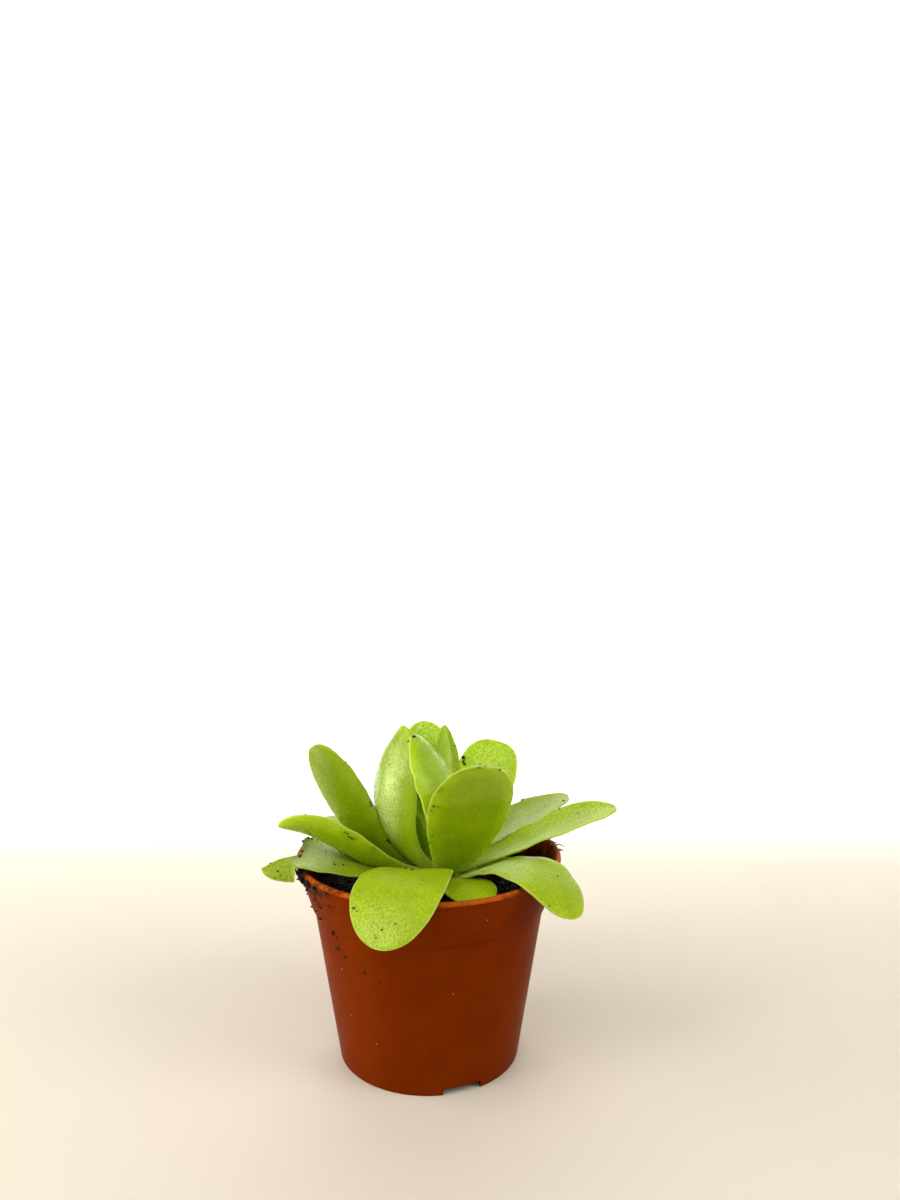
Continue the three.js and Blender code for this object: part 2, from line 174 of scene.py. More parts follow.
def patches(material, size, low, high, start=0, end=1, detail=3):
    """Soft noise as clear patches, which go smoothly from start to end."""
    return ramp(material, cloudy(material, size, detail), low, high, start, end)


def calculate(material, operation, first, second):
    node = add_node(material, "Math", {}, operation=operation)
    plug(material, node.inputs[0], first)
    plug(material, node.inputs[1], second)
    return node.outputs[0]


def times(material, first, second):
    return calculate(material, "MULTIPLY", first, second)


def blend(material, share, first, second):
    """Goes from the first colour to the second one."""
    node = add_node(material, "Mix", {}, data_type="RGBA")
    plug(material, node.inputs["Factor"], share)
    plug(material, node.inputs[6], first)
    plug(material, node.inputs[7], second)
    return node.outputs[2]


def relief(material, height, depth, below=None):
    """A bump of this depth, added to the one below it."""
    inputs = {"Height": height, "Distance": depth * MM}
    if below:
        inputs["Normal"] = below
    return add_node(material, "Bump", inputs).outputs["Normal"]


# %% [markdown]
# ## The studio
#
# The plant stands on a sheet of pale paper that curves up into a backdrop, as in a photographer's
# studio. Paper of one colour would do, but a warm floor suits the terracotta, and bright leaves
# stand out best against white, so this sheet turns white behind the plant. One tall light from the
# left, like a window, draws a highlight down the leaves. Wider and softer ones, low at the left, in
# front and at the right, light the pot and the undersides, and two lamps whiten the backdrop.

# %% The floor and the backdrop
FLOOR_COLOR = (0.74, 0.66, 0.54, 1)
FLOOR_SHADE = (0.71, 0.63, 0.51, 1)
BACKDROP_COLOR = (0.86, 0.86, 0.86, 1)
# Between these distances behind the plant, the paper goes from warm to white.
WHITE_FROM = 170
WHITE_BEYOND = 300
FLOOR_HALF_WIDTH = 2400
FLOOR_FRONT = -1200
FLOOR_BACK = 900
BACKDROP_CURVE = 500
BACKDROP_TOP = 2200


def make_backdrop():
    side = [(FLOOR_FRONT, 0), (FLOOR_BACK, 0)]
    for step in range(1, 17):
        angle = math.pi / 2 * step / 16
        back = FLOOR_BACK + BACKDROP_CURVE * math.sin(angle)
        side.append((back, BACKDROP_CURVE * (1 - math.cos(angle))))
    side.append((FLOOR_BACK + BACKDROP_CURVE, BACKDROP_TOP))
    edges = (-FLOOR_HALF_WIDTH, FLOOR_HALF_WIDTH)
    points = [(x * MM, y * MM, z * MM) for y, z in side for x in edges]
    faces = [(2 * i, 2 * i + 1, 2 * i + 3, 2 * i + 2) for i in range(len(side) - 1)]
    mesh = bpy.data.meshes.new("backdrop")
    mesh.from_pydata(points, [], faces)
    mesh.shade_smooth()
    return mesh


paper = new_material("paper", {"Roughness": 0.8, "Specular IOR Level": 0.2})
paper_tint = blend(paper, cloudy(paper, 300), FLOOR_COLOR, FLOOR_SHADE)
paper_place = add_node(paper, "SeparateXYZ", {"Vector": object_place(paper)})
whiteness = ramp(paper, paper_place.outputs["Y"], WHITE_FROM * MM, WHITE_BEYOND * MM)
paper_tint = blend(paper, whiteness, paper_tint, BACKDROP_COLOR)
set_surface(paper, {"Base Color": paper_tint})
backdrop = bpy.data.objects.new("backdrop", make_backdrop())
backdrop.data.materials.append(paper)
bpy.context.collection.objects.link(backdrop)
backdrop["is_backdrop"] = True
print("Backdrop faces:", len(backdrop.data.polygons))

# %% The lights
# Each light has a place, a width and a height in millimetres, and a power in watts. The last two
# whiten the paper behind the plant, in cones so narrow that none of their light meets a leaf.
LIGHTS = {
    "window": dict(place=(-560, -400, 400), size=(140, 740), power=2.3),
    "low": dict(place=(-650, -150, 150), size=(300, 260), power=1.9),
    "side": dict(place=(-600, 50, 500), size=(200, 600), power=1.0),
    "front": dict(place=(-100, -600, 650), size=(800, 500), power=2.3),
    "right": dict(place=(600, -300, 450), size=(400, 600), power=3.2),
    "top": dict(place=(-60, -60, 820), size=(600, 600), power=0.2),
    "backdrop": dict(place=(0, 650, 1350), size=(1400, 900), power=22, aim=(0, 1400, 750), cone=120),
    "behind": dict(place=(0, 560, 800), size=(2200, 400), power=15, aim=(0, 760, 0), cone=92),
}
PLANT_MIDDLE = (0, 0, 75)
SKY_COLOR = (1, 0.99, 0.96, 1)
SKY_STRENGTH = 0.2


def add_light(name, place, size, power, aim=PLANT_MIDDLE, cone=180):
    light = bpy.data.objects.new(name, bpy.data.lights.new(name, "AREA"))
    light.data.shape = "RECTANGLE"
    light.data.size = size[0] * MM
    light.data.size_y = size[1] * MM
    light.data.energy = power
    light.data.spread = math.radians(cone)
    light.location = Vector(place) * MM
    away = Vector(place) - Vector(aim)
    light.rotation_euler = away.to_track_quat("Z", "Y").to_euler()
    bpy.context.collection.objects.link(light)


for name, light in LIGHTS.items():
    add_light(name, **light)
sky = bpy.data.worlds.new("sky")
sky.use_nodes = True
sky.node_tree.nodes["Background"].inputs["Color"].default_value = SKY_COLOR
sky.node_tree.nodes["Background"].inputs["Strength"].default_value = SKY_STRENGTH
bpy.context.scene.world = sky
bpy.context.scene.view_settings.view_transform = "Standard"
print("Lights:", ", ".join(LIGHTS))

# %% [markdown]
# ## Helpers for meshes
#
# Three kinds of mesh make the whole plant. A turned solid is an outline swept round the Z axis, as
# on a lathe, and gives the pot, the soil and the crown. A tube follows a path, and gives fibres. A
# lump is a small ball dented by noise, and gives crumbs. Solids are cut and joined with Blender's
# Manifold solver, which is quick and always gives back a closed mesh.

# %% Helpers that make pieces
def make_mesh(name, points, faces, scale=1.0):
    mesh = bpy.data.meshes.new(name)
    mesh.from_pydata((np.asarray(points, float) * scale).tolist(), [], faces)
    mesh.update()
    return mesh


def add_piece(name, mesh, material):
    """Shows a mesh as a smooth piece of the plant that rides on its one body."""
    mesh.shade_smooth()
    mesh.materials.clear()
    mesh.materials.append(material)
    piece = bpy.data.objects.new(name, mesh)
    bpy.context.collection.objects.link(piece)
    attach(piece, "root")
    return piece


def paint(mesh, name, values):
    """Gives each point of the mesh a value that a material can read."""
    attribute = mesh.attributes.new(name, "FLOAT", "POINT")
    attribute.data.foreach_set("value", np.asarray(values, np.float32))


def mesh_points(mesh):
    points = np.empty(len(mesh.vertices) * 3, np.float32)
    mesh.vertices.foreach_get("co", points)
    return points.reshape(-1, 3).astype(float)


# %% Helpers that turn an outline and round its corners
def rounded(corners, steps=4):
    """An outline of [radius, height] points, from corners that also say how far they are rounded."""
    outline = []
    for i, (radius, height, rounding) in enumerate(corners):
        corner = Vector((radius, height))
        if rounding == 0:
            outline.append(tuple(corner))
            continue
        before = Vector(corners[i - 1][:2]) - corner
        after = Vector(corners[i + 1][:2]) - corner
        start = corner + before.normalized() * rounding
        end = corner + after.normalized() * rounding
        for step in range(steps + 1):
            t = step / steps
            point = start * (1 - t) ** 2 + corner * 2 * t * (1 - t) + end * t**2
            outline.append(tuple(point))
    return outline


def turned(outline, segments):
    """Points and faces of an outline turned about Z, whose first and last points are on the axis."""
    angles = np.arange(segments) * 2 * math.pi / segments
    rings = [
        np.column_stack([r * np.cos(angles), r * np.sin(angles), np.full(segments, z)])
        for r, z in outline[1:-1]
    ]
    points = np.vstack([[(0, 0, outline[0][1])], *rings, [(0, 0, outline[-1][1])]])
    return points, skin(len(rings), segments)


def skin(rings, segments):
    """The faces that close a row of rings, with a single point at each end."""
    faces = []
    last = 1 + (rings - 1) * segments
    for i in range(segments):
        after = (i + 1) % segments
        faces.append((0, 1 + after, 1 + i))
        faces.append((last + i, last + after, last + segments))
        for low in range(1, last, segments):
            high = low + segments
            faces.append((low + i, low + after, high + after, high + i))
    return faces


# %% Helpers that cut, join and tidy solids
def solid(mesh):
    piece = bpy.data.objects.new(mesh.name, mesh)
    bpy.context.collection.objects.link(piece)
    return piece


def combine(first, second, operation):
    """Cuts the second solid out of the first one, or joins it on, and uses both of them up."""
    modifier = first.modifiers.new("combine", "BOOLEAN")
    modifier.operation = operation
    modifier.solver = "MANIFOLD"
    modifier.object = second
    graph = bpy.context.evaluated_depsgraph_get()
    mesh = bpy.data.meshes.new_from_object(first.evaluated_get(graph))
    bpy.data.objects.remove(first)
    bpy.data.objects.remove(second)
    return mesh


def keep_largest_body(mesh):
    """Drops the loose scraps that a cut can leave."""
    form = bmesh.new()
    form.from_mesh(mesh)
    unseen = set(form.verts)
    bodies = []
    while unseen:
        body = [unseen.pop()]
        for vertex in body:
            neighbours = {edge.other_vert(vertex) for edge in vertex.link_edges} & unseen
            unseen -= neighbours
            body.extend(neighbours)
        bodies.append(body)
    bodies.sort(key=len)
    for scrap in bodies[:-1]:
        bmesh.ops.delete(form, geom=scrap, context="VERTS")
    form.to_mesh(mesh)
    form.free()


# %% Helpers for crumbs
def ball(subdivisions):
    form = bmesh.new()
    bmesh.ops.create_icosphere(form, subdivisions=subdivisions, radius=1)
    points = np.array([vertex.co[:] for vertex in form.verts])
    faces = [[vertex.index for vertex in face.verts] for face in form.faces]
    form.free()
    return points, faces


CRUMB_BALL = ball(2)


def lump(centre, size, seed, roughness=0.25, shape=CRUMB_BALL):
    """A dented, flattened ball."""
    points, faces = shape
    shift = Vector((seed * 3.7, seed * 1.3, seed * 2.1))
    dents = [noise.noise(Vector(p) * 1.3 + shift) * 0.75 for p in points]
    grains = [noise.noise(Vector(p) * 4 + shift) * roughness for p in points]
    dents = 0.75 + np.add(dents, grains)
    turn = np.array(Matrix.Rotation(seed * 2.4, 3, Vector((0.3, 0.5, 1))))
    stretch = (1, 0.75, 0.55)
    return np.asarray(centre) + (points * dents[:, None] * stretch * size) @ turn.T, faces


print("Faces of a crumb:", len(CRUMB_BALL[1]))


# %% Helpers for threads and for heaps of small things
def tube(path, radius, sides=5):
    """A thin thread along a path, which tapers towards both ends."""
    path = np.asarray(path, float)
    rings = []
    for i in range(1, len(path) - 1):
        forward = path[i + 1] - path[i - 1]
        across = np.cross(forward, (0.31, 0.22, 0.93))
        across /= np.linalg.norm(across)
        up = np.cross(across, forward)
        up /= np.linalg.norm(up)
        thick = radius * (0.55 + 0.45 * math.sin(math.pi * i / (len(path) - 1)))
        for side in range(sides):
            angle = 2 * math.pi * side / sides
            rings.append(path[i] + thick * (across * math.cos(angle) + up * math.sin(angle)))
    return np.vstack([path[:1], rings, path[-1:]]), skin(len(path) - 2, sides)


def gather(parts):
    """Many small solids as the points and faces of one mesh."""
    points, faces, count = [], [], 0
    for part_points, part_faces in parts:
        points.append(part_points)
        faces.extend([index + count for index in face] for face in part_faces)
        count += len(part_points)
    return np.vstack(points), faces


def add_loose(name, parts, material):
    """Shows a heap of small solids, given in millimetres, as one piece."""
    return add_piece(name, make_mesh(name, *gather(parts), MM), material)


# %% [markdown]
# ## The pot
#
# A nursery pot is moulded from thin polypropylene. It has a rolled lip, a flared collar with a step
# under it, where pots catch as they are stacked, and a tapered body. Three notches in the foot and
# six holes in the floor let water out. Modelling it face by face would be slow, so the wall is one
# outline turned on the lathe, and the notches and holes are cut out afterwards.

# %% The pot's sizes
POT_HEIGHT = 70
RIM_RADIUS = 45
LIP_HEIGHT = 1.7
LIP_WIDTH = 1.6
LIP_OVERHANG = 0.6
COLLAR_BOTTOM = 54
COLLAR_BOTTOM_RADIUS = 40
BODY_TOP_RADIUS = 39.2
FOOT_RADIUS = 30.6
FOOT_RING_WIDTH = 1.5
WALL = 1.0
STEP = 0.7
FLOOR_UNDERSIDE = 3.0
FLOOR_TOP = 4.2
PAD_RADIUS = 14
PAD_DRAFT = 0.6
PAD_INSIDE_RADIUS = 13.5
PAD_FLOOR = 1.2
POT_SEGMENTS = 192
# Edges bent by more than this many degrees stay sharp.
POT_CREASE = 38

NOTCH_AZIMUTHS = (-68.3, 51.7, 171.7)
NOTCH_WIDTH = 13
NOTCH_HEIGHT = 2.7
NOTCH_DEPTH = 8
DRAIN_HOLES = 6
DRAIN_RADIUS = 3
DRAIN_CIRCLE_RADIUS = 21
print("Across the rim and the foot in mm:", 2 * RIM_RADIUS, 2 * FOOT_RADIUS)


# %% The pot's outline
def outside_radius(height):
    """The wall's outside radius: a tapered body under a wider, flared collar."""
    if height < COLLAR_BOTTOM:
        return FOOT_RADIUS + (BODY_TOP_RADIUS - FOOT_RADIUS) * height / COLLAR_BOTTOM
    collar_top = POT_HEIGHT - LIP_HEIGHT
    flare = (RIM_RADIUS - LIP_OVERHANG - COLLAR_BOTTOM_RADIUS) / (collar_top - COLLAR_BOTTOM)
    return COLLAR_BOTTOM_RADIUS + flare * (height - COLLAR_BOTTOM)


def pot_outline():
    body_top = COLLAR_BOTTOM - STEP
    collar_top = POT_HEIGHT - LIP_HEIGHT
    ring_inside = FOOT_RADIUS - FOOT_RING_WIDTH
    underside = [
        (0, 0, 0),
        (PAD_RADIUS, 0, 0.4),
        (PAD_RADIUS + PAD_DRAFT, FLOOR_UNDERSIDE, 0.4),
        (ring_inside, FLOOR_UNDERSIDE, 0.4),
        (ring_inside, 0, 0.3),
        (FOOT_RADIUS, 0, 0.7),
    ]
    outside = [
        (outside_radius(body_top), body_top, 0.15),
        (COLLAR_BOTTOM_RADIUS, COLLAR_BOTTOM, 0.22),
        (outside_radius(collar_top), collar_top, 0.3),
        (RIM_RADIUS, collar_top + 0.25, 0.4),
        (RIM_RADIUS, POT_HEIGHT, 0.7),
        (RIM_RADIUS - LIP_WIDTH, POT_HEIGHT, 0.7),
    ]
    inside = [
        (COLLAR_BOTTOM_RADIUS - WALL, COLLAR_BOTTOM + STEP / 2, 0.4),
        (outside_radius(body_top) - WALL, body_top + STEP / 2, 0.4),
        (outside_radius(FLOOR_TOP) - WALL, FLOOR_TOP, 1.2),
        (PAD_INSIDE_RADIUS, FLOOR_TOP, 0.4),
        (PAD_INSIDE_RADIUS - PAD_DRAFT, PAD_FLOOR, 0.4),
        (0, PAD_FLOOR, 0),
    ]
    return rounded(underside + outside + inside)


print("Points in the pot's outline:", len(pot_outline()))


# %% The cutters for the notches and the drain holes
def notch_cutter(azimuth):
    form = bmesh.new()
    bmesh.ops.create_cube(form, size=1)
    size = Matrix.Diagonal((NOTCH_DEPTH, NOTCH_WIDTH, 2 * NOTCH_HEIGHT, 1))
    bmesh.ops.transform(form, matrix=size, verts=form.verts)
    bmesh.ops.bevel(form, geom=form.edges[:], offset=0.9, segments=4, profile=0.5, affect="EDGES")
    place = Matrix.Rotation(math.radians(azimuth), 4, "Z") @ Matrix.Translation((FOOT_RADIUS, 0, 0))
    bmesh.ops.transform(form, matrix=place, verts=form.verts)
    mesh = bpy.data.meshes.new("notch")
    form.to_mesh(mesh)
    form.free()
    return mesh


def drain_cutter(index):
    outline = [(0, -1), (DRAIN_RADIUS, -1), (DRAIN_RADIUS, 7), (0, 7)]
    points, faces = turned(outline, 40)
    angle = 2 * math.pi * index / DRAIN_HOLES
    middle = (DRAIN_CIRCLE_RADIUS * math.cos(angle), DRAIN_CIRCLE_RADIUS * math.sin(angle), 0)
    return make_mesh("drain", points + middle, faces)


def make_pot():
    pot = make_mesh("pot", *turned(pot_outline(), POT_SEGMENTS))
    cutters = [notch_cutter(azimuth) for azimuth in NOTCH_AZIMUTHS]
    cutters += [drain_cutter(index) for index in range(DRAIN_HOLES)]
    for cutter in cutters:
        pot = combine(solid(pot), solid(cutter), "DIFFERENCE")
    return pot


print("Cuts in the pot:", len(NOTCH_AZIMUTHS) + DRAIN_HOLES)


# %% [markdown]
# The plastic is a warm terracotta colour all through, so it needs no paint or grain. What makes it
# real is small: a soft sheen that varies from handling, the faint pebble of the mould, a painted
# highlight along the top of the lip, peat rubbed on below the rim, and the inside painted nearly
# black, as painted shade with a coat of peat. The lip and the peat are stored on the mesh as values
# at each point, because they belong to a place and not to a pattern.

# %% The plastic
PLASTIC = (0.172, 0.0222, 0.0005, 1)
PLASTIC_DARK = (0.155, 0.0190, 0.0004, 1)
# A painted highlight along the top of the lip, where the light falls on it.
PLASTIC_LIP_HIGHLIGHT = (0.44, 0.09, 0.008, 1)
PLASTIC_SHINE = (1, 0.32, 0.03, 1)
PEAT_SMEAR = (0.03, 0.012, 0.004, 1)
# Nearly black: painted shade on the inside of the pot, with some peat on it.
INNER_SHADE_AND_PEAT = (0.004, 0.002, 0.001, 1)

satin = {"IOR": 1.49, "Specular IOR Level": 0.008, "Specular Tint": PLASTIC_SHINE}
plastic = new_material("terracotta_plastic", satin)
# The top of the lip is painted lighter in patches: a painted highlight.
lip_highlight = times(plastic, painted(plastic, "lip"), patches(plastic, 4, 0.3, 0.6))
plastic_color = blend(plastic, patches(plastic, 16, 0.35, 0.65), PLASTIC_DARK, PLASTIC)
plastic_color = blend(plastic, lip_highlight, plastic_color, PLASTIC_LIP_HIGHLIGHT)
rubbed = patches(plastic, 2.2, 0.42, 0.6, detail=6)
rubbed = times(plastic, rubbed, painted(plastic, "smear"))
plastic_color = blend(plastic, rubbed, plastic_color, PEAT_SMEAR)
# The inside of the wall is painted nearly black, as painted shade with peat.
plastic_color = blend(plastic, painted(plastic, "inner_wall"), plastic_color, INNER_SHADE_AND_PEAT)
pebble = relief(plastic, cloudy(plastic, 0.5, detail=2), 0.012)
pebble = relief(plastic, cloudy(plastic, 18), 0.12, below=pebble)
dullness = patches(plastic, 7, 0.3, 0.7, 0.3, 0.38, detail=5)
dullness = calculate(plastic, "ADD", dullness, times(plastic, rubbed, 0.4))
set_surface(plastic, {"Base Color": plastic_color, "Roughness": dullness, "Normal": pebble})
print("Plastic nodes:", len(plastic.node_tree.nodes))

# %% The pot in its place
# Azimuths are in degrees. The peat that fell over the rim has smeared the wall beside its clump.
CLUMP_AZIMUTH = 203
SMEAR_AZIMUTH = 212
SMEAR_AZIMUTH_SPREAD = 18
SMEAR_HEIGHT = 66
SMEAR_HEIGHT_SPREAD = 9
SMEAR_OUTSIDE_OF = 38
# Below this height the inside of the wall is painted nearly black: painted shade, with a coat of peat.
INNER_SHADE_TOP = 68.8


def turn_from(azimuth, x, y):
    """How many degrees round the pot a place is from an azimuth."""
    return (np.degrees(np.arctan2(y, x)) - azimuth + 180) % 360 - 180


pot_mesh = make_pot()
x, y, z = mesh_points(pot_mesh).T
radii = np.hypot(x, y)
beside = np.exp(-((turn_from(SMEAR_AZIMUTH, x, y) / SMEAR_AZIMUTH_SPREAD) ** 2))
below_rim = np.exp(-(((z - SMEAR_HEIGHT) / SMEAR_HEIGHT_SPREAD) ** 2))
paint(pot_mesh, "smear", beside * below_rim * (radii > SMEAR_OUTSIDE_OF))
inside = radii < [outside_radius(height) - WALL / 2 for height in z]
# Marks the inside of the wall below the rim for its painted shade and peat.
paint(pot_mesh, "inner_wall", inside & (z < INNER_SHADE_TOP))
# Marks the top of the lip for its painted highlight.
paint(pot_mesh, "lip", np.clip((z - (POT_HEIGHT - LIP_HEIGHT)) / 0.6, 0, 1))
pot_mesh.transform(Matrix.Scale(MM, 4))
pot = add_piece("pot_shell", pot_mesh, plastic)
pot_mesh.set_sharp_from_angle(angle=math.radians(POT_CREASE))
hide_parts("pot")
print("Pot faces:", len(pot_mesh.polygons))

# %% [markdown]
# ## The peat
#
# Peat mix is a dark, crumbly mass of rotted moss. Seen close it is clods of every size, with pale
# fibres and a few grains of perlite, which keeps the mix airy. The ground is a fine disc whose
# points are raised by rounded cells of three sizes, because clods are round on top with sharp
# creases between them. Loose crumbs, fibres and grains then lie on it as pieces of their own.

# %% The ground's height
SOIL_EDGE_HEIGHT = 56.5
SOIL_MIDDLE_HEIGHT = 58.5
SOIL_BUMP = 0.5
SOIL_RINGS = 90
SOIL_SEGMENTS = 288
CLEARANCE = 0.3
# Clods as their size and how far they rise, in millimetres.
CLODS = ((3.4, 1.0), (1.5, 0.7), (0.7, 0.3))


def soil_height(x, y):
    """The broad form of the ground: highest in the middle, with shallow bumps."""
    share = math.hypot(x, y) / BODY_TOP_RADIUS
    dome = SOIL_MIDDLE_HEIGHT + (SOIL_EDGE_HEIGHT - SOIL_MIDDLE_HEIGHT) * share**2
    wide_bumps = math.sin(0.42 * x + 1.1) * math.sin(0.5 * y + 0.4)
    return dome + SOIL_BUMP * (wide_bumps + 0.6 * math.sin(0.9 * x - 0.7 * y))


def ground_height(x, y):
    """The broad form with clods on it."""
    height = soil_height(x, y) - 0.5
    for size, rise in CLODS:
        nearest = noise.voronoi(Vector((x, y, size)) / size)[0][0]
        height += rise * (0.6 - nearest)
    return height


print("Ground in the middle in mm:", round(ground_height(0, 0), 1))


# %% The peat's material
PEAT_DARK = (0.006, 0.004, 0.0025, 1)
PEAT_BROWN = (0.032, 0.019, 0.009, 1)
PEAT_FIBROUS = (0.12, 0.075, 0.035, 1)
MOSS = (0.05, 0.07, 0.012, 1)

peat = new_material("peat", {"Specular IOR Level": 0.3})
peat_color = blend(peat, patches(peat, 1.1, 0.42, 0.68, detail=8), PEAT_DARK, PEAT_BROWN)
peat_color = blend(peat, patches(peat, 0.35, 0.6, 0.72), peat_color, PEAT_FIBROUS)
peat_color = blend(peat, patches(peat, 9, 0.55, 0.75, 0, 0.6), peat_color, MOSS)
peat_grain = relief(peat, cloudy(peat, 0.5, detail=6), 0.35)
peat_wet = patches(peat, 2.5, 0.35, 0.7, 0.62, 0.98, detail=4)
set_surface(peat, {"Base Color": peat_color, "Roughness": peat_wet, "Normal": peat_grain})
print("Peat nodes:", len(peat.node_tree.nodes))


# %% The ground in its place
def soil_outline():
    """Up the inside of the pot, a little clear of it, then over the top to the middle."""
    wall = [
        (0, PAD_FLOOR + CLEARANCE),
        (PAD_INSIDE_RADIUS - PAD_DRAFT - CLEARANCE, PAD_FLOOR + CLEARANCE),
        (PAD_INSIDE_RADIUS - CLEARANCE, FLOOR_TOP + CLEARANCE),
        (outside_radius(FLOOR_TOP) - WALL - 1.3, FLOOR_TOP + CLEARANCE),
        (outside_radius(FLOOR_TOP + 1) - WALL - CLEARANCE, FLOOR_TOP + 1.2),
        (outside_radius(COLLAR_BOTTOM - STEP) - WALL - CLEARANCE, COLLAR_BOTTOM),
        (COLLAR_BOTTOM_RADIUS - WALL - CLEARANCE, COLLAR_BOTTOM + 0.4),
    ]
    edge = outside_radius(SOIL_EDGE_HEIGHT) - WALL - CLEARANCE
    rings = [edge * (1 - ring / SOIL_RINGS) for ring in range(SOIL_RINGS + 1)]
    return wall + [(radius, SOIL_EDGE_HEIGHT) for radius in rings]


def make_ground():
    points, faces = turned(soil_outline(), SOIL_SEGMENTS)
    for point in points:
        if point[2] == SOIL_EDGE_HEIGHT:
            point[2] = ground_height(point[0], point[1])
    return make_mesh("ground", points, faces, MM)


ground = add_piece("peat_ground", make_ground(), peat)
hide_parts("soil")
print("Ground faces:", len(ground.data.polygons))

# %% [markdown]
# Crumbs, fibres and perlite are scattered with a random generator that starts from a fixed seed, so
# the plant comes out the same every time. Blender's particles would be quicker to set up, but real
# meshes can be exported and lie exactly where they are put. More crumbs lie along the edge, where
# the mix was filled in by hand.

# %% Crumbs on the ground
rng = np.random.default_rng(11)
CRUMBS = 420
CRUMB_SIZES = (0.3, 1.5)


def on_ground(radius, azimuth, proud):
    x = radius * math.cos(azimuth)
    y = radius * math.sin(azimuth)
    return np.array([x, y, ground_height(x, y) + proud])


def any_azimuth():
    return rng.uniform(0, 2 * math.pi)


def scatter_crumbs():
    crumbs = []
    for seed in range(CRUMBS):
        size = CRUMB_SIZES[0] + (CRUMB_SIZES[1] - CRUMB_SIZES[0]) * rng.random() ** 2.4
        radius = (BODY_TOP_RADIUS - 2) * rng.random() ** 0.35
        spot = on_ground(radius, any_azimuth(), size * 0.3)
        crumbs.append(lump(spot, size, seed))
    return crumbs


crumbs = add_loose("peat_crumbs", scatter_crumbs(), peat)
print("Crumb faces:", len(crumbs.data.polygons))

# %% The materials of the fibres and the perlite
FIBRE_PALE = (0.30, 0.20, 0.10, 1)
FIBRE_DARK = (0.10, 0.055, 0.025, 1)
PERLITE_CLEAN = (0.62, 0.58, 0.5, 1)
PERLITE_DUSTY = (0.3, 0.24, 0.17, 1)

fibre = new_material("dry_fibre", {"Roughness": 0.8})
fibre_color = blend(fibre, patches(fibre, 5, 0.4, 0.6), FIBRE_DARK, FIBRE_PALE)
set_surface(fibre, {"Base Color": fibre_color, "Normal": relief(fibre, cloudy(fibre, 0.2), 0.05)})

glassy = {"Roughness": 0.9, "Subsurface Weight": 0.2, "Subsurface Scale": 0.001}
perlite = new_material("perlite", glassy)
perlite_color = blend(perlite, cloudy(perlite, 0.8), PERLITE_CLEAN, PERLITE_DUSTY)
perlite_grain = relief(perlite, cells(perlite, 0.4), 0.15)
set_surface(perlite, {"Base Color": perlite_color, "Normal": perlite_grain})
print("Perlite nodes:", len(perlite.node_tree.nodes))

# %% Fibres and perlite
FIBRES = 90
PERLITE_GRAINS = 16


def curl(start, heading, length, bend, lift, steps=9):
    """A path that sets off from a point, turns steadily and arches over."""
    path = [np.asarray(start, float)]
    for step in range(steps):
        share = step / (steps - 1)
        angle = heading + bend * (share - 0.5)
        rise = lift * math.cos(math.pi * share)
        path.append(path[-1] + length / steps * np.array([math.cos(angle), math.sin(angle), rise]))
    return path


def scatter_fibres():
    fibres = []
    for _ in range(FIBRES):
        radius = (BODY_TOP_RADIUS - 5) * rng.random() ** 0.4
        start = on_ground(radius, any_azimuth(), 0.2)
        path = curl(start, any_azimuth(), rng.uniform(3, 8), rng.uniform(-2, 2), 0.25)
        fibres.append(tube(path, rng.uniform(0.08, 0.16)))
    return fibres


def scatter_perlite():
    grains = []
    for seed in range(PERLITE_GRAINS):
        size = rng.uniform(0.4, 0.9)
        radius = (BODY_TOP_RADIUS - 3) * rng.random() ** 0.5
        spot = on_ground(radius, any_azimuth(), 0.3)
        grains.append(lump(spot, size, seed + 900))
    return grains


fibres = add_loose("peat_fibres", scatter_fibres(), fibre)
grains = add_loose("perlite_grains", scatter_perlite(), perlite)
print("Fibre faces:", len(fibres.data.polygons), "and perlite faces:", len(grains.data.polygons))

# %% [markdown]
# When the pot was filled, a handful of peat fell over the rim. A clump of it still hangs outside
# the lip at the left, with a trail of specks down the wall under it, and a few dry strands stick
# out over the rim at the right. Each speck is pressed a little into the wall, because wet peat
# clings. The clump is made of finer and rougher lumps, because it is seen against the light.

# %% Where the peat lies on the rim and on the wall
# Specks as azimuth in degrees, height and size in millimetres.
WALL_SPECKS = (
    (211, 55, 0.55), (215, 60, 0.5), (208, 57, 0.45), (219, 52, 0.6), (222, 51, 0.5), (221, 47, 0.7),
    (226, 45, 0.4), (238, 42, 0.55), (246, 40, 0.4), (205, 50, 0.35), (213, 44, 0.3), (232, 33, 0.25),
    (217, 66.5, 0.75), (215, 65, 0.6), (224, 67.5, 0.5), (224, 63, 0.35), (300, 46, 0.25),
    (200, 62, 0.5), (199, 60.5, 0.4), (196, 55, 0.4), (262, 37, 0.3), (213, 63, 0.45), (209, 61, 0.4),
)
# A speck of wet peat spreads to this many times its size.
SPECK_SPREAD = 1.5
PALE_SPECKS = ((222, 40, 0.3), (224, 24, 0.3), (241, 17, 0.25), (283, 37, 0.35), (296, 62, 0.25))
CLUMP_LUMPS = 46
CLUMP_SPREAD = 5
CLOD_SIZES = (0.5, 1.7)
CLOD_BALL = ball(3)
STRANDS = 8
STRAND_RADIUS = 0.2
print("Specks on the wall:", len(WALL_SPECKS) + len(PALE_SPECKS))


# %% Peat on the rim and on the wall
def on_wall(azimuth, height, proud):
    radius = outside_radius(height) + proud
    angle = math.radians(azimuth)
    return np.array([radius * math.cos(angle), radius * math.sin(angle), height])


def clump_on_rim():
    """Fused clods that hang outside the lip, thickest just under it."""
    clods = []
    for seed in range(CLUMP_LUMPS):
        below = 6 * rng.random() ** 1.3
        azimuth = CLUMP_AZIMUTH + CLUMP_SPREAD * rng.normal()
        proud = rng.uniform(0, 1.9) * (1 - below / 8)
        size = rng.uniform(*CLOD_SIZES) * (1 - below / 12)
        spot = on_wall(azimuth, POT_HEIGHT - 0.4 - below, proud)
        clods.append(lump(spot, size, seed + 500, 0.7, CLOD_BALL))
    return clods


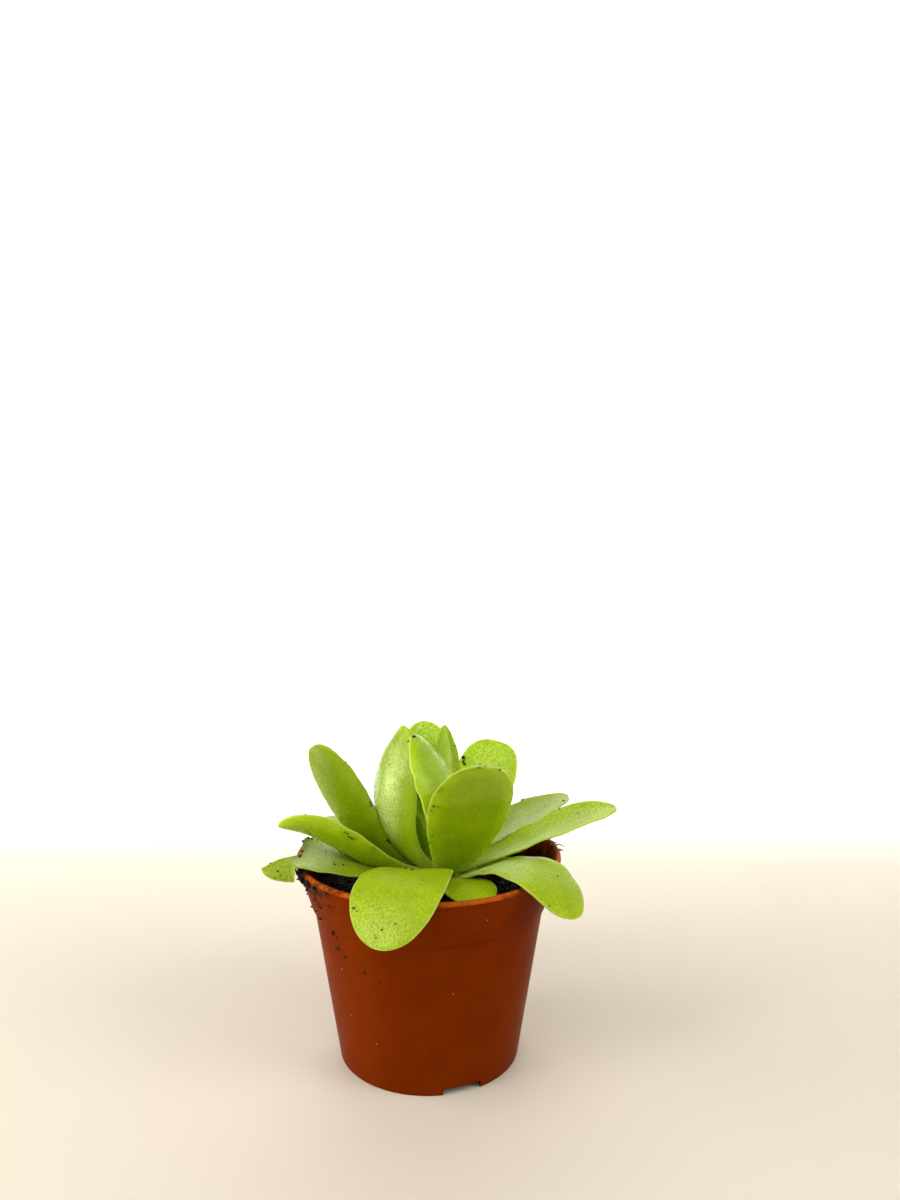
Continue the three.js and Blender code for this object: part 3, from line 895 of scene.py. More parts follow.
def strand_paths():
    paths = []
    for _ in range(STRANDS):
        azimuth = math.radians(rng.uniform(3, 15))
        start = (RIM_RADIUS - 1.5) * np.array([math.cos(azimuth), math.sin(azimuth), 0])
        start[2] = POT_HEIGHT - rng.uniform(0, 1.2)
        heading = azimuth + rng.uniform(-1.1, 1.1)
        paths.append(curl(start, heading, rng.uniform(2, 4.5), rng.uniform(-2, 2), 0.5))
    return paths


wall_lumps = [
    lump(on_wall(azimuth, height, 0.1), SPECK_SPREAD * size, seed, 0.7)
    for seed, (azimuth, height, size) in enumerate(WALL_SPECKS)
]
pale_lumps = [
    lump(on_wall(azimuth, height, 0.05), size, seed + 800)
    for seed, (azimuth, height, size) in enumerate(PALE_SPECKS)
]
rim_peat = add_loose("rim_peat", clump_on_rim() + wall_lumps, peat)
add_loose("pale_chips", pale_lumps, perlite)
add_loose("rim_strands", [tube(path, STRAND_RADIUS) for path in strand_paths()], fibre)
print("Rim peat faces:", len(rim_peat.data.polygons))

# %% [markdown]
# ## The leaves' forms
#
# A butterwort leaf is a fleshy tongue, narrow at the crown and broad towards its tip, that arches up
# and often over. A good way to model one is to think as the plant grows: a midrib that climbs and
# bends, and a thin rounded section swept along it, whose margins curve up. Every leaf is then one
# short entry of numbers, and the same few functions grow all of them.

# %% How each leaf grows
# In the outline, base is the width at the crown as a share of the greatest width, broad is where
# that greatest width is, and tip is 2 for a round tip and less for a pointed one. The lists run from
# the crown to the tip, in degrees: heading is the compass direction of the midrib, rise is how
# steeply it climbs, roll turns the blade about it, and cup bends the margins up. Beyond a tear the
# right half keeps a share of its width, and past the fold of a lobe the left half hangs down.
LEAVES = {
    "leaf_front_broad": dict(
        tier=2, length=53, width=27.5, base=0.26, broad=0.68, tip=2.2,
        heading=[290, 300, 308], rise=[36, 56, 66, 66], roll=[12, 20], cup=[20, 12],
    ),
    "leaf_drooping_front": dict(
        tier=1, length=60, width=30, base=0.28, broad=0.64, tip=2.1,
        heading=[257, 253, 246], rise=[36, 28, 7, -33, -67], roll=[-4, -4], cup=[10, -10],
    ),
    "leaf_drooping_right": dict(
        tier=1, length=54.5, width=25.5, base=0.27, broad=0.66, tip=2,
        heading=[325, 323, 321], rise=[21, 27.5, 7.5, -29, -54], roll=[1, 4], cup=[10, 0, -12],
    ),
    "leaf_small_front": dict(
        tier=1, length=32, width=18, base=0.35, broad=0.62, tip=2,
        heading=[290, 292, 294], rise=[20, 10, -14], roll=[0, 0], cup=[15, 5],
    ),
    "leaf_upturned_left": dict(
        tier=2, length=52.5, width=22.5, base=0.35, broad=0.6, tip=1.8,
        heading=[200, 194, 186], rise=[5, 21, 33, 27, 13], roll=[-18, -32], cup=[45, 55],
    ),
    "leaf_torn_left": dict(
        tier=1, length=54, width=26, base=0.3, broad=0.6, tip=1.8,
        heading=[195, 193, 191], rise=[15.8, 19.4, 13, -5, -14], roll=[5, 5],
        cup=[8, 4, 3, 4, 14, 34, 10],
        torn=dict(beyond=0.74, keeps=0.25),
        lobe=dict(start=0.8, end=0.825, keeps=0.74, cup=-78),
    ),
    "leaf_folded": dict(
        tier=3, length=56, width=26, base=0.12, broad=0.7, tip=1.6,
        heading=[286, 304, 361], rise=[32, 79, 121, 136], roll=[-30, -22, 16], cup=[38, 25],
    ),
    "leaf_bulging": dict(
        tier=3, length=57, width=29, base=0.58, broad=0.6, tip=2.3,
        heading=[200, 206, 198], rise=[31, 56, 84, 111, 128], roll=[0, -14], cup=[50, 56, 50],
    ),
    "leaf_tall_left": dict(
        tier=3, length=59, width=18.5, base=0.42, broad=0.62, tip=1.9,
        heading=[186, 184, 184], rise=[4, 38, 60, 62, 60], roll=[-35, -55, -62], cup=[30, 20],
    ),
    "leaf_long_right": dict(
        tier=2, length=59, width=17.5, base=0.4, broad=0.66, tip=1.7,
        heading=[354, 356, 358], rise=[22, 25.5, 24.5, 13], roll=[-6, -12], cup=[35, 22],
    ),
    "leaf_upper_right": dict(
        tier=3, length=50.5, width=19.5, base=0.36, broad=0.6, tip=1.7,
        heading=[28, 26, 24], rise=[20, 23, 20, 10], roll=[0, 0], cup=[25, 12],
    ),
    "leaf_round_back_right": dict(
        tier=4, length=46, width=23, base=0.36, broad=0.7, tip=2.7,
        heading=[47, 46, 46], rise=[38, 47, 56, 68], roll=[-10, -24], cup=[25, 18],
    ),
    "leaf_narrow_upright": dict(
        tier=4, length=47, width=12.5, base=0.36, broad=0.6, tip=1.8,
        heading=[50, 0, -18], rise=[60, 80, 100, 112], roll=[5, 30], cup=[45, 55],
    ),
    "leaf_upright_back": dict(
        tier=4, length=47, width=21, base=0.36, broad=0.64, tip=2.2,
        heading=[110, 112, 112], rise=[60, 72, 80, 84], roll=[0, 0], cup=[30, 18],
    ),
    "leaf_low_right": dict(
        tier=1, length=24, width=13, base=0.35, broad=0.6, tip=1.9,
        heading=[8, 6, 4], rise=[8, 6, 2], roll=[0, 0], cup=[20, 10],
    ),
    "leaf_middle_back": dict(
        tier=3, length=46, width=19, base=0.36, broad=0.62, tip=2,
        heading=[84, 80, 76], rise=[30, 30, 26, 18], roll=[0, 0], cup=[25, 15],
    ),
    "leaf_middle_back_left": dict(
        tier=3, length=33, width=15, base=0.36, broad=0.62, tip=2,
        heading=[136, 133, 130], rise=[30, 42, 48], roll=[0, 0], cup=[25, 15],
    ),
    "leaf_low_back_right": dict(
        tier=1, length=46, width=18, base=0.35, broad=0.62, tip=2,
        heading=[44, 50, 54], rise=[20, 19, 9, 2], roll=[0, 0], cup=[15, 5],
    ),
    "leaf_low_back": dict(
        tier=2, length=50, width=20, base=0.35, broad=0.62, tip=2,
        heading=[108, 108, 106], rise=[20, 15, 4, -8], roll=[0, 0], cup=[15, 5],
    ),
    "leaf_low_back_left": dict(
        tier=1, length=48, width=18, base=0.35, broad=0.62, tip=2,
        heading=[146, 147, 148], rise=[16, 17, 10, 0], roll=[0, 0], cup=[20, 10],
    ),
    "leaf_young_left": dict(
        tier=4, length=22, width=9, base=0.4, broad=0.6, tip=1.9,
        heading=[215, 220, 225], rise=[60, 66, 70], roll=[0, 0], cup=[40, 30],
    ),
    "leaf_young_right": dict(
        tier=4, length=19, width=8, base=0.4, broad=0.6, tip=1.9,
        heading=[35, 30, 25], rise=[62, 68, 72], roll=[0, 0], cup=[40, 30],
    ),
}
print("Leaves:", len(LEAVES))

# %% [markdown]
# The midrib starts on one of five tiers of the crown. From there it takes sixty small steps, each in
# the direction that the heading and the rise give at that place. At any place on it, a frame of three
# directions says where the blade goes: forward along it, across it, and out of its upper face.

# %% The midrib and its frame
CROWN_MIDDLE = Vector((3, 0, 0))
# How far out from the crown's axis and how high each tier of leaves starts.
TIERS = ((7.4, 60.2), (7.0, 61.8), (6.2, 63.6), (5.0, 65.4), (3.0, 67.4))
MIDRIB_STEPS = 60


def along(values, share):
    """A smooth value at a share from 0 to 1 of an evenly spaced list."""
    last = len(values) - 1
    index = min(math.floor(share * last), last - 1)
    t = share * last - index
    start, end = values[index], values[index + 1]
    before = values[max(index - 1, 0)]
    after = values[min(index + 2, last)]
    slope_start = end - start if index == 0 else (end - before) / 2
    slope_end = end - start if index + 2 > last else (after - start) / 2
    from_start = (2 * t**3 - 3 * t**2 + 1) * start + (t**3 - 2 * t**2 + t) * slope_start
    from_end = (3 * t**2 - 2 * t**3) * end + (t**3 - t**2) * slope_end
    return from_start + from_end


def blade_frame(leaf, share):
    heading, rise, roll = (
        math.radians(along(leaf[turn], share)) for turn in ("heading", "rise", "roll")
    )
    level_way = Vector((math.cos(heading), math.sin(heading), 0))
    forward = level_way * math.cos(rise) + Vector((0, 0, math.sin(rise)))
    level = Vector((math.sin(heading), -math.cos(heading), 0))
    upright = level.cross(forward)
    across = level * math.cos(roll) + upright * math.sin(roll)
    out = upright * math.cos(roll) - level * math.sin(roll)
    return forward, across, out


def midrib(leaf):
    radius, height = TIERS[leaf["tier"]]
    heading = math.radians(leaf["heading"][0])
    start = Vector((radius * math.cos(heading), radius * math.sin(heading), height))
    points = [CROWN_MIDDLE + start]
    step = leaf["length"] / MIDRIB_STEPS
    for i in range(MIDRIB_STEPS):
        points.append(points[-1] + blade_frame(leaf, (i + 0.5) / MIDRIB_STEPS)[0] * step)
    return points


print("Longest leaf in mm:", max(leaf["length"] for leaf in LEAVES.values()))

# %% [markdown]
# The section is thin and rounded, about 2 mm thick at the crown and 1.3 mm near the tip. A perfect
# sweep of it would look like moulded rubber, so three small irregularities go in here: the margins
# wander in and out, the blade waves gently, and a shallow groove follows the midrib. They fade out
# at the crown, where leaves are packed tightly. The one leaf that is torn lost the right half of
# its tip, and the left half has sunk over the rim.

# %% The width of a blade
TEAR_LENGTH = 0.03
TEAR_RAGGEDNESS = 0.03


def hanging(leaf, share, side):
    """How far a side of the blade has turned down into its lobe, from 0 to 1."""
    if "lobe" not in leaf or side >= 0:
        return 0
    start, end = leaf["lobe"]["start"], leaf["lobe"]["end"]
    t = min(1, max(0, (share - start) / (end - start)))
    return t * t * (3 - 2 * t)


def cup_at(leaf, share, side):
    """How far the margins are bent up, in radians, and never quite zero."""
    cup = math.radians(along(leaf["cup"], share))
    if "lobe" in leaf:
        cup += (math.radians(leaf["lobe"]["cup"]) - cup) * hanging(leaf, share, side)
    return cup or 1e-9


def torn_share(leaf, share, side):
    """How much of the right half is left at a place where the blade is torn."""
    if "torn" not in leaf or side <= 0:
        return 1
    ragged = TEAR_RAGGEDNESS * noise.noise(Vector((share * 70, 3, 1)))
    past = (share + ragged - leaf["torn"]["beyond"] + TEAR_LENGTH / 2) / TEAR_LENGTH
    past = min(1, max(0, past))
    return 1 + (leaf["torn"]["keeps"] - 1) * past


def half_width(leaf, share, side):
    base, broad, tip = leaf["base"], leaf["broad"], leaf["tip"]
    if share < broad:
        part = base + (1 - base) * math.sin(math.pi / 2 * share / broad) ** 1.4
    else:
        part = max(0, 1 - ((share - broad) / (1 - broad)) ** 2.2) ** (1 / tip)
    if "lobe" in leaf:
        part *= 1 + (leaf["lobe"]["keeps"] - 1) * hanging(leaf, share, side)
    return leaf["width"] / 2 * part * torn_share(leaf, share, side)


print("Widest leaf in mm:", max(leaf["width"] for leaf in LEAVES.values()))


# %% The thickness and the waves
BASE_THICKNESS = 2.2
TIP_THICKNESS = 1.3
OUTLINE_WANDER = 0.03
BLADE_WAVE = 0.45
MARGIN_WAVE = 0.5


def thickness(share):
    return BASE_THICKNESS + (TIP_THICKNESS - BASE_THICKNESS) * min(1, 1.6 * share)


def wander(seed, share, side):
    """How the margin strays from a perfect curve, as a share of the width."""
    spot = Vector((share * 7, math.copysign(2.5, side), seed))
    return 1 + OUTLINE_WANDER * noise.noise(spot) * min(1, share * 2.5)


def wave(leaf, seed, share, side):
    """How far the blade lifts from a perfect sweep, in millimetres."""
    spot = Vector((share * leaf["length"] / 9, side * leaf["width"] / 18, seed))
    blade = BLADE_WAVE * noise.noise(spot)
    margin = MARGIN_WAVE * side**2 * noise.noise(spot * 1.7 + Vector((5, 0, 0)))
    return (blade + margin) * min(1, share * 2)


print("Thickness at the crown and the tip in mm:", thickness(0), thickness(1))


# %% The rings of a blade
BASE_RINGS = 34
TIP_RINGS = 34
FOLD_RINGS = 5
RING_POINTS = 56
MARGIN_CROWDING = 0.24
MARGIN_ROUNDNESS = 0.5
MARGIN_GROWTH = 2
GROOVE_WIDTH = 0.07
GROOVE_DEPTH = 0.22
KEEL_HEIGHT = 0.3


def stations(leaf, base_rings, tip_rings):
    """Even steps to the broadest place, then closer and closer ones to the tip and in a fold."""
    broad = leaf["broad"]
    shares = [broad * i / base_rings for i in range(base_rings)]
    for i in range(tip_rings):
        shares.append(broad + (1 - broad) * math.sin(math.pi / 2 * i / tip_rings))
    if "lobe" in leaf:
        fold = np.linspace(leaf["lobe"]["start"], leaf["lobe"]["end"], FOLD_RINGS)
        shares.extend(fold.tolist())
    return sorted(shares)


def ring_angles(count):
    """Angles round the section, closer together at the two margins."""
    even = np.arange(count) * 2 * math.pi / count
    return even - MARGIN_CROWDING * np.sin(2 * even)


def section(leaf, seed, share, centre, count, grow):
    _, across, out = blade_frame(leaf, share)
    ring = []
    for angle in ring_angles(count):
        side, face = math.cos(angle), math.sin(angle)
        cup = cup_at(leaf, share, side)
        lift = math.copysign(abs(face) ** MARGIN_ROUNDNESS, face) * (thickness(share) / 2 + grow)
        crease = math.exp(-((side / GROOVE_WIDTH) ** 2)) * (1 - share) * min(1, share * 4)
        lift -= crease * (GROOVE_DEPTH if face > 0 else KEEL_HEIGHT)
        reach = half_width(leaf, share, side) * wander(seed, share, side) + MARGIN_GROWTH * grow
        radius = reach / cup
        rise = radius * (1 - math.cos(side * cup)) + lift * math.cos(side * cup)
        rise += wave(leaf, seed, share, side)
        ring.append(centre + across * (radius - lift) * math.sin(side * cup) + out * rise)
    return ring


# %% The blade as a closed solid
def make_blade(leaf, seed, rings=(BASE_RINGS, TIP_RINGS), count=RING_POINTS, grow=0.0):
    """The blade in millimetres; grow makes it larger all round, to cut a gap in a neighbour."""
    spine = midrib(leaf)
    points = [spine[0] - blade_frame(leaf, 0)[0] * grow]
    shares = stations(leaf, *rings)
    for share in shares:
        step = math.floor(share * MIDRIB_STEPS)
        centre = spine[step].lerp(spine[step + 1], share * MIDRIB_STEPS - step)
        points.extend(section(leaf, seed, share, centre, count, grow))
    tip_wave = blade_frame(leaf, 1)[2] * wave(leaf, seed, 1, 0)
    points.append(spine[-1] + blade_frame(leaf, 1)[0] * grow + tip_wave)
    return make_mesh("blade", [tuple(point) for point in points], skin(len(shares), count))


print("Points in a blade:", (BASE_RINGS + TIP_RINGS) * RING_POINTS + 2)


# %% [markdown]
# Materials need to know where on a blade they are: how far from the margin, on which face, and how
# far along. These values are worked out for each point as the blade is made. The cut that comes
# later makes new points, so each point of the cut blade takes the values of the nearest point of
# the whole one.

# %% What each point of a blade knows
def blade_facts(leaf):
    """For each point: the distance to the margin, the face (1 is the upper one), along and side."""
    facts = [(1, 0, 0, 0)]
    for share in stations(leaf, BASE_RINGS, TIP_RINGS):
        for angle in ring_angles(RING_POINTS):
            side, face = math.cos(angle), math.sin(angle)
            to_side = (1 - abs(side)) * half_width(leaf, share, side)
            to_tip = (1 - share) * leaf["length"]
            upper = math.copysign(min(1, abs(face) * 3), face)
            facts.append((min(to_side, to_tip), upper, share, side))
    facts.append((0, 0, 1, 0))
    return np.array(facts)


def nearest_facts(whole, cut, facts):
    """The facts of the nearest point of the whole blade, for each point of the cut one."""
    points = mesh_points(whole)
    tree = kdtree.KDTree(len(points))
    for i, point in enumerate(points):
        tree.insert(point, i)
    tree.balance()
    return np.array([facts[tree.find(point)[1]] for point in mesh_points(cut)])


print("Facts known to a point:", blade_facts(LEAVES["leaf_young_left"]).shape[1])


# %% [markdown]
# ## The leaves' finish
#
# The flesh is a bright yellow-green, and light goes some way into it, so the surface has subsurface
# scattering. The upper face is stippled with glands. The lower one is smooth and satiny, with a
# darker middle. The margin is thin and pale, and here and there the skin has a brown fleck. A
# whitish bloom, which is partly a painted highlight, lies on some leaves. Each leaf could have a
# material of its own, but then a change would have to be made twenty times, so one material does it
# all, by reading the values that each blade carries.

# %% The leaf material
UPPER_BRIGHT = (0.43, 0.57, 0.006, 1)
UPPER_DEEP = (0.36, 0.49, 0.004, 1)
LOWER_BRIGHT = (0.34, 0.48, 0.004, 1)
LOWER_DEEP = (0.235, 0.365, 0.001, 1)
GLAND_DOT = (0.20, 0.31, 0.003, 1)
LEAF_SHINE = (0.88, 1, 0.36, 1)
MARGIN_PALE = (0.46, 0.54, 0.09, 1)
RIM_PINK = (0.50, 0.40, 0.14, 1)
# Whitish: bloom, and also painted highlights and reflections.
BLOOM_AND_HIGHLIGHT = (0.58, 0.68, 0.26, 1)
FLECK = (0.07, 0.03, 0.006, 1)
BASE_PALE = (0.36, 0.48, 0.03, 1)

flesh = {
    "IOR": 1.42,
    "Specular Tint": LEAF_SHINE,
    "Subsurface Weight": 0.4,
    "Subsurface Radius": (0.75, 1.0, 0.12),
    "Subsurface Scale": 0.0022,
}
leaf_skin = new_material("leaf_skin", flesh)
margin_gap = painted(leaf_skin, "margin_gap")
upper_face = ramp(leaf_skin, painted(leaf_skin, "upper_face"), -0.2, 0.3)
mottle = patches(leaf_skin, 7, 0.3, 0.7, detail=6)
dots = ramp(leaf_skin, cells(leaf_skin, 0.75), 0.1, 0.42, 1, 0)
fine_grain = cloudy(leaf_skin, 0.45)
leathery = patches(leaf_skin, 0.6, 0.38, 0.6, 0.6, 0, detail=5)

# %% The colour of the two faces
middle = ramp(leaf_skin, margin_gap, 1.0, 6.0)
upper_color = blend(leaf_skin, mottle, UPPER_DEEP, UPPER_BRIGHT)
upper_color = blend(leaf_skin, leathery, upper_color, GLAND_DOT)
upper_color = blend(leaf_skin, times(leaf_skin, dots, 0.5), upper_color, GLAND_DOT)
depth = times(leaf_skin, middle, patches(leaf_skin, 8, 0.2, 0.7, 1, 0.75))
lower_color = blend(leaf_skin, depth, LOWER_BRIGHT, LOWER_DEEP)
leaf_color = blend(leaf_skin, upper_face, lower_color, upper_color)
near_crown = ramp(leaf_skin, painted(leaf_skin, "along"), 0.02, 0.35, 0.7, 0)
leaf_color = blend(leaf_skin, near_crown, leaf_color, BASE_PALE)

# %% The margin, the bloom with its painted highlights, and the flecks
pale = ramp(leaf_skin, margin_gap, 0.1, 0.7, 0.7, 0)
leaf_color = blend(leaf_skin, pale, leaf_color, MARGIN_PALE)
pink = patches(leaf_skin, 8, 0.4, 0.7)
pink = times(leaf_skin, ramp(leaf_skin, margin_gap, 0.02, 0.15, 0.5, 0), pink)
leaf_color = blend(leaf_skin, pink, leaf_color, RIM_PINK)
# Whitish bloom, partly a painted highlight and reflection, chiefly the streak down the bulging leaf.
bloom_and_highlight_share = patches(leaf_skin, 0.6, 0.35, 0.62, detail=6)
bloom_and_highlight_share = times(leaf_skin, bloom_and_highlight_share, painted(leaf_skin, "bloom_and_highlight"))
leaf_color = blend(leaf_skin, bloom_and_highlight_share, leaf_color, BLOOM_AND_HIGHLIGHT)
# The flesh of each leaf is made brighter or darker: painted light and shade, partly its own tone.
shade_toned = {"Color": leaf_color, "Value": painted(leaf_skin, "shade_tone")}
leaf_color = add_node(leaf_skin, "HueSaturation", shade_toned).outputs["Color"]
scars = times(leaf_skin, painted(leaf_skin, "scar"), ramp(leaf_skin, fine_grain, 0.3, 0.6))
leaf_color = blend(leaf_skin, scars, leaf_color, FLECK)

# %% The relief and the sheen
skin_relief = relief(leaf_skin, cloudy(leaf_skin, 3), 0.15)
skin_relief = relief(leaf_skin, fine_grain, 0.07, below=skin_relief)
gland_relief = times(leaf_skin, dots, upper_face)
skin_relief = relief(leaf_skin, gland_relief, 0.09, below=skin_relief)
roughness = ramp(leaf_skin, upper_face, 0, 1, 0.24, 0.4)
uneven = patches(leaf_skin, 1.2, 0.3, 0.7, -0.06, 0.08)
roughness = calculate(leaf_skin, "ADD", roughness, uneven)
sheen = ramp(leaf_skin, upper_face, 0, 1, 0.75, 0.4)
set_surface(leaf_skin, {"Base Color": leaf_color, "Normal": skin_relief})
set_surface(leaf_skin, {"Roughness": roughness, "Specular IOR Level": sheen})
print("Leaf nodes:", len(leaf_skin.node_tree.nodes))

# %% [markdown]
# Each leaf has its own history. One has a whitish streak down its back, a painted highlight with
# some bloom in it, and one was torn when young. The flesh of each leaf is also made brighter or
# darker, as painted light and shade for how the light falls on it, with some of its own tone. Such
# marks could be painted by hand on an image, but a short list of spots is easier to change and stays
# sharp: how far along the leaf, how far to the side, how wide and how strong.

# %% The bloom and painted highlights, the scars and the painted light and shade of each leaf
# Bloom spots, partly painted highlight: the row down the bulging leaf is its highlight streak, and the
# torn leaf's paint a reflection of the sky.
BLOOM_AND_HIGHLIGHT_SPOTS = {
    "leaf_bulging": [
        (0.82, -0.2, 0.1, 0.6), (0.75, -0.26, 0.09, 0.8), (0.67, -0.3, 0.08, 1),
        (0.59, -0.3, 0.08, 1), (0.51, -0.27, 0.08, 1), (0.44, -0.25, 0.08, 1),
        (0.37, -0.22, 0.07, 0.8), (0.6, 0.35, 0.2, 0.4), (0.8, -0.6, 0.12, 0.5),
    ],
    "leaf_torn_left": [(0.62, 0.4, 0.2, 0.4), (0.45, 0.7, 0.2, 0.25), (0.8, -0.4, 0.2, 0.2)],
    "leaf_drooping_front": [(0.93, -0.2, 0.14, 0.3), (0.93, 0.3, 0.12, 0.3)],
    "leaf_upper_right": [(0.6, -0.4, 0.3, 0.15), (0.95, 0, 0.12, 0.4)],
    "leaf_long_right": [(0.75, -0.4, 0.25, 0.3), (0.95, 0, 0.12, 0.6), (0.4, 0.3, 0.2, 0.15)],
    "leaf_tall_left": [(0.97, 0, 0.1, 0.7), (0.8, 0.7, 0.12, 0.4)],
    "leaf_folded": [(0.62, -0.35, 0.1, 0.7), (0.56, -0.5, 0.08, 0.5), (0.75, 0, 0.2, 0.2)],
    "leaf_upturned_left": [(0.9, 0.5, 0.15, 0.4)],
    "leaf_round_back_right": [(0.8, 0, 0.3, 0.3)],
    "leaf_upright_back": [(0.9, 0, 0.3, 0.4)],
    "leaf_narrow_upright": [(0.75, 0.9, 0.15, 0.5)],
}
SCAR_SPOTS = {
    "leaf_torn_left": [(0.74, 0.6, 0.04, 1), (0.78, 0.25, 0.04, 0.9), (0.75, 0.9, 0.05, 1)],
    "leaf_folded": [(1, 0, 0.04, 0.8)],
    "leaf_front_broad": [(0.8, 0.93, 0.02, 0.6)],
}
# How bright the flesh of a leaf is painted beside the others, as painted light and shade for how
# the light falls on it, with some of its own tone; those left out are 1.
LEAF_SHADE_TONES = {
    "leaf_front_broad": 0.88,
    "leaf_tall_left": 0.72,
    "leaf_torn_left": 0.72,
    "leaf_upper_right": 0.84,
    "leaf_bulging": 0.95,
    "leaf_drooping_front": 0.88,
    "leaf_folded": 1.2,
    "leaf_upright_back": 1.35,
    "leaf_round_back_right": 1.25,
    "leaf_small_front": 1.2,
    "leaf_long_right": 1.06,
    "leaf_drooping_right": 0.97,
}
print("Leaves with a bloom:", len(BLOOM_AND_HIGHLIGHT_SPOTS))

# %% [markdown]
# Bloom and scars only change the colour, but a speck of peat stands up from the leaf. It is a lump
# of its own, half sunk in the sticky drops, so each lump is made larger than what shows of it.

# %% The specks of peat on the leaves
# Specks as (along, side, face, size in millimetres), where face 1 is the upper one.
SPECK_SCALE = 1.8
PEAT_SPECKS = {
    "leaf_torn_left": [
        (0.56, -0.4, 1, 0.4), (0.51, -0.5, 1, 0.35), (0.6, 0.25, 1, 0.3), (0.57, -0.35, 1, 0.25),
        (0.91, -0.5, 1, 0.32), (0.9, -0.7, 1, 0.28), (0.93, -0.85, 1, 0.3), (0.94, 0.8, 1, 0.28),
        (0.64, 0.93, 1, 0.3), (0.67, 0.95, 1, 0.35), (0.7, 0.96, 1, 0.4), (0.72, 0.96, 1, 0.4),
        (0.74, 0.85, 1, 0.35), (0.755, 0.65, 1, 0.45), (0.76, 0.5, 1, 0.35), (0.8, -0.75, 1, 0.25),
    ],
    "leaf_upturned_left": [
        (0.87, -1, 1, 0.28), (0.64, -0.86, -1, 0.28), (0.62, -0.83, -1, 0.32), (0.6, -0.8, -1, 0.28),
        (0.58, -0.8, -1, 0.3), (0.56, -0.8, -1, 0.25), (0.42, -0.93, -1, 0.25), (0.8, -0.1, -1, 0.18),
    ],
    "leaf_tall_left": [
        (0.29, -0.85, -1, 0.5), (0.27, -0.87, -1, 0.4), (0.55, -0.92, -1, 0.35), (0.56, -0.95, -1, 0.3),
        (0.84, -1, -1, 0.3), (0.8, -1, -1, 0.3), (0.17, 0.43, -1, 0.3),
    ],
    "leaf_bulging": [(0.76, -0.16, -1, 0.25), (0.29, 0.17, -1, 0.22), (0.5, 0.45, -1, 0.18)],
    "leaf_front_broad": [
        (0.99, 0.6, -1, 0.35), (0.99, 0.4, -1, 0.3), (0.98, -0.9, -1, 0.35), (1, 0, -1, 0.22),
        (0.67, 0.9, -1, 0.32), (0.65, 0.92, -1, 0.28), (0.68, 0.8, -1, 0.28), (0.44, 0.86, -1, 0.22),
        (0.38, 0.93, -1, 0.25), (0.7, -0.2, -1, 0.18), (0.36, -0.7, -1, 0.2),
    ],
    "leaf_folded": [(0.99, 0.3, -1, 0.45), (0.98, 0, -1, 0.35), (0.99, 0.9, 1, 0.45)],
    "leaf_narrow_upright": [(0.83, -0.32, -1, 0.3), (0.82, -0.25, -1, 0.25)],
    "leaf_round_back_right": [
        (0.79, -0.93, 1, 0.45), (0.78, -0.9, 1, 0.5), (0.76, -0.85, 1, 0.5), (0.74, -0.82, 1, 0.45),
        (0.82, 0.32, 1, 0.25), (0.78, -0.32, 1, 0.28),
    ],
    "leaf_upper_right": [
        (0.73, -0.98, 1, 0.45), (0.72, -1, 1, 0.45), (0.74, -1, 1, 0.35), (0.82, -1, 1, 0.3),
        (0.92, 0.65, 1, 0.4), (0.8, 0.23, 1, 0.25), (0.6, -0.5, 1, 0.18),
    ],
    "leaf_long_right": [(0.69, -0.94, 1, 0.25), (0.78, -0.32, 1, 0.25), (0.92, -0.57, 1, 0.18)],
    "leaf_drooping_front": [
        (0.46, 0.03, 1, 0.45), (0.46, -0.04, 1, 0.4), (0.45, 0.1, 1, 0.35), (0.82, 0.86, 1, 0.3),
        (0.81, 0.9, 1, 0.3), (0.83, 0.8, 1, 0.22), (0.6, -0.47, 1, 0.28), (0.87, -0.32, 1, 0.22),
        (0.91, 0, 1, 0.28), (0.95, 0.16, 1, 0.24), (0.7, 0.1, 1, 0.15), (0.8, 0.4, 1, 0.15),
    ],
    "leaf_drooping_right": [(0.74, -0.32, 1, 0.28), (0.86, 0.9, 1, 0.25), (0.5, 0.1, 1, 0.15)],
}
print("Specks of peat on the leaves:", sum(len(rows) for rows in PEAT_SPECKS.values()))


# %% The marks on a mesh
def spots(marks, share, side):
    """How strong the marks are at each point, from 0 to 1."""
    strength = np.zeros(len(share))
    for mark_along, mark_side, width, most in marks:
        away = np.hypot(share - mark_along, (side - mark_side) * 0.25) / width
        strength = np.maximum(strength, most * np.exp(-(away**2)))
    return strength


def paint_blade(mesh, name, facts):
    margin_gap, upper, share, side = facts.T
    paint(mesh, "margin_gap", margin_gap)
    paint(mesh, "upper_face", upper)
    paint(mesh, "along", share)
    # How bright the leaf is painted, as painted light and shade.
    paint(mesh, "shade_tone", np.full(len(share), LEAF_SHADE_TONES.get(name, 1)))
    # The whitish bloom, partly a painted highlight.
    paint(mesh, "bloom_and_highlight", spots(BLOOM_AND_HIGHLIGHT_SPOTS.get(name, []), share, side))
    paint(mesh, "scar", spots(SCAR_SPOTS.get(name, []), share, side))


def peat_specks(mesh, name, facts):
    """Lumps of peat, each on the blade's point whose facts come closest to what is wanted."""
    points = mesh_points(mesh)
    specks = []
    for i, (share, side, face, size) in enumerate(PEAT_SPECKS.get(name, [])):
        away = np.hypot(facts[:, 2] - share, (facts[:, 3] - side) * 0.3)
        away[facts[:, 1] * face < 0] += 1
        specks.append(lump(points[np.argmin(away)], SPECK_SCALE * size, i + 60, 0.5))
    return specks


# %% [markdown]
# ## The glands
#
# Each sticky drop sits on a hair-thin stalk, and is about a quarter of a millimetre wide. A shader
# can fake the dots, but not the way the drops break up the outline and catch the light, so they are
# real geometry too: small eight-sided beads, strewn at random over the upper faces. Triangles are
# picked by their area, which spreads the drops evenly.

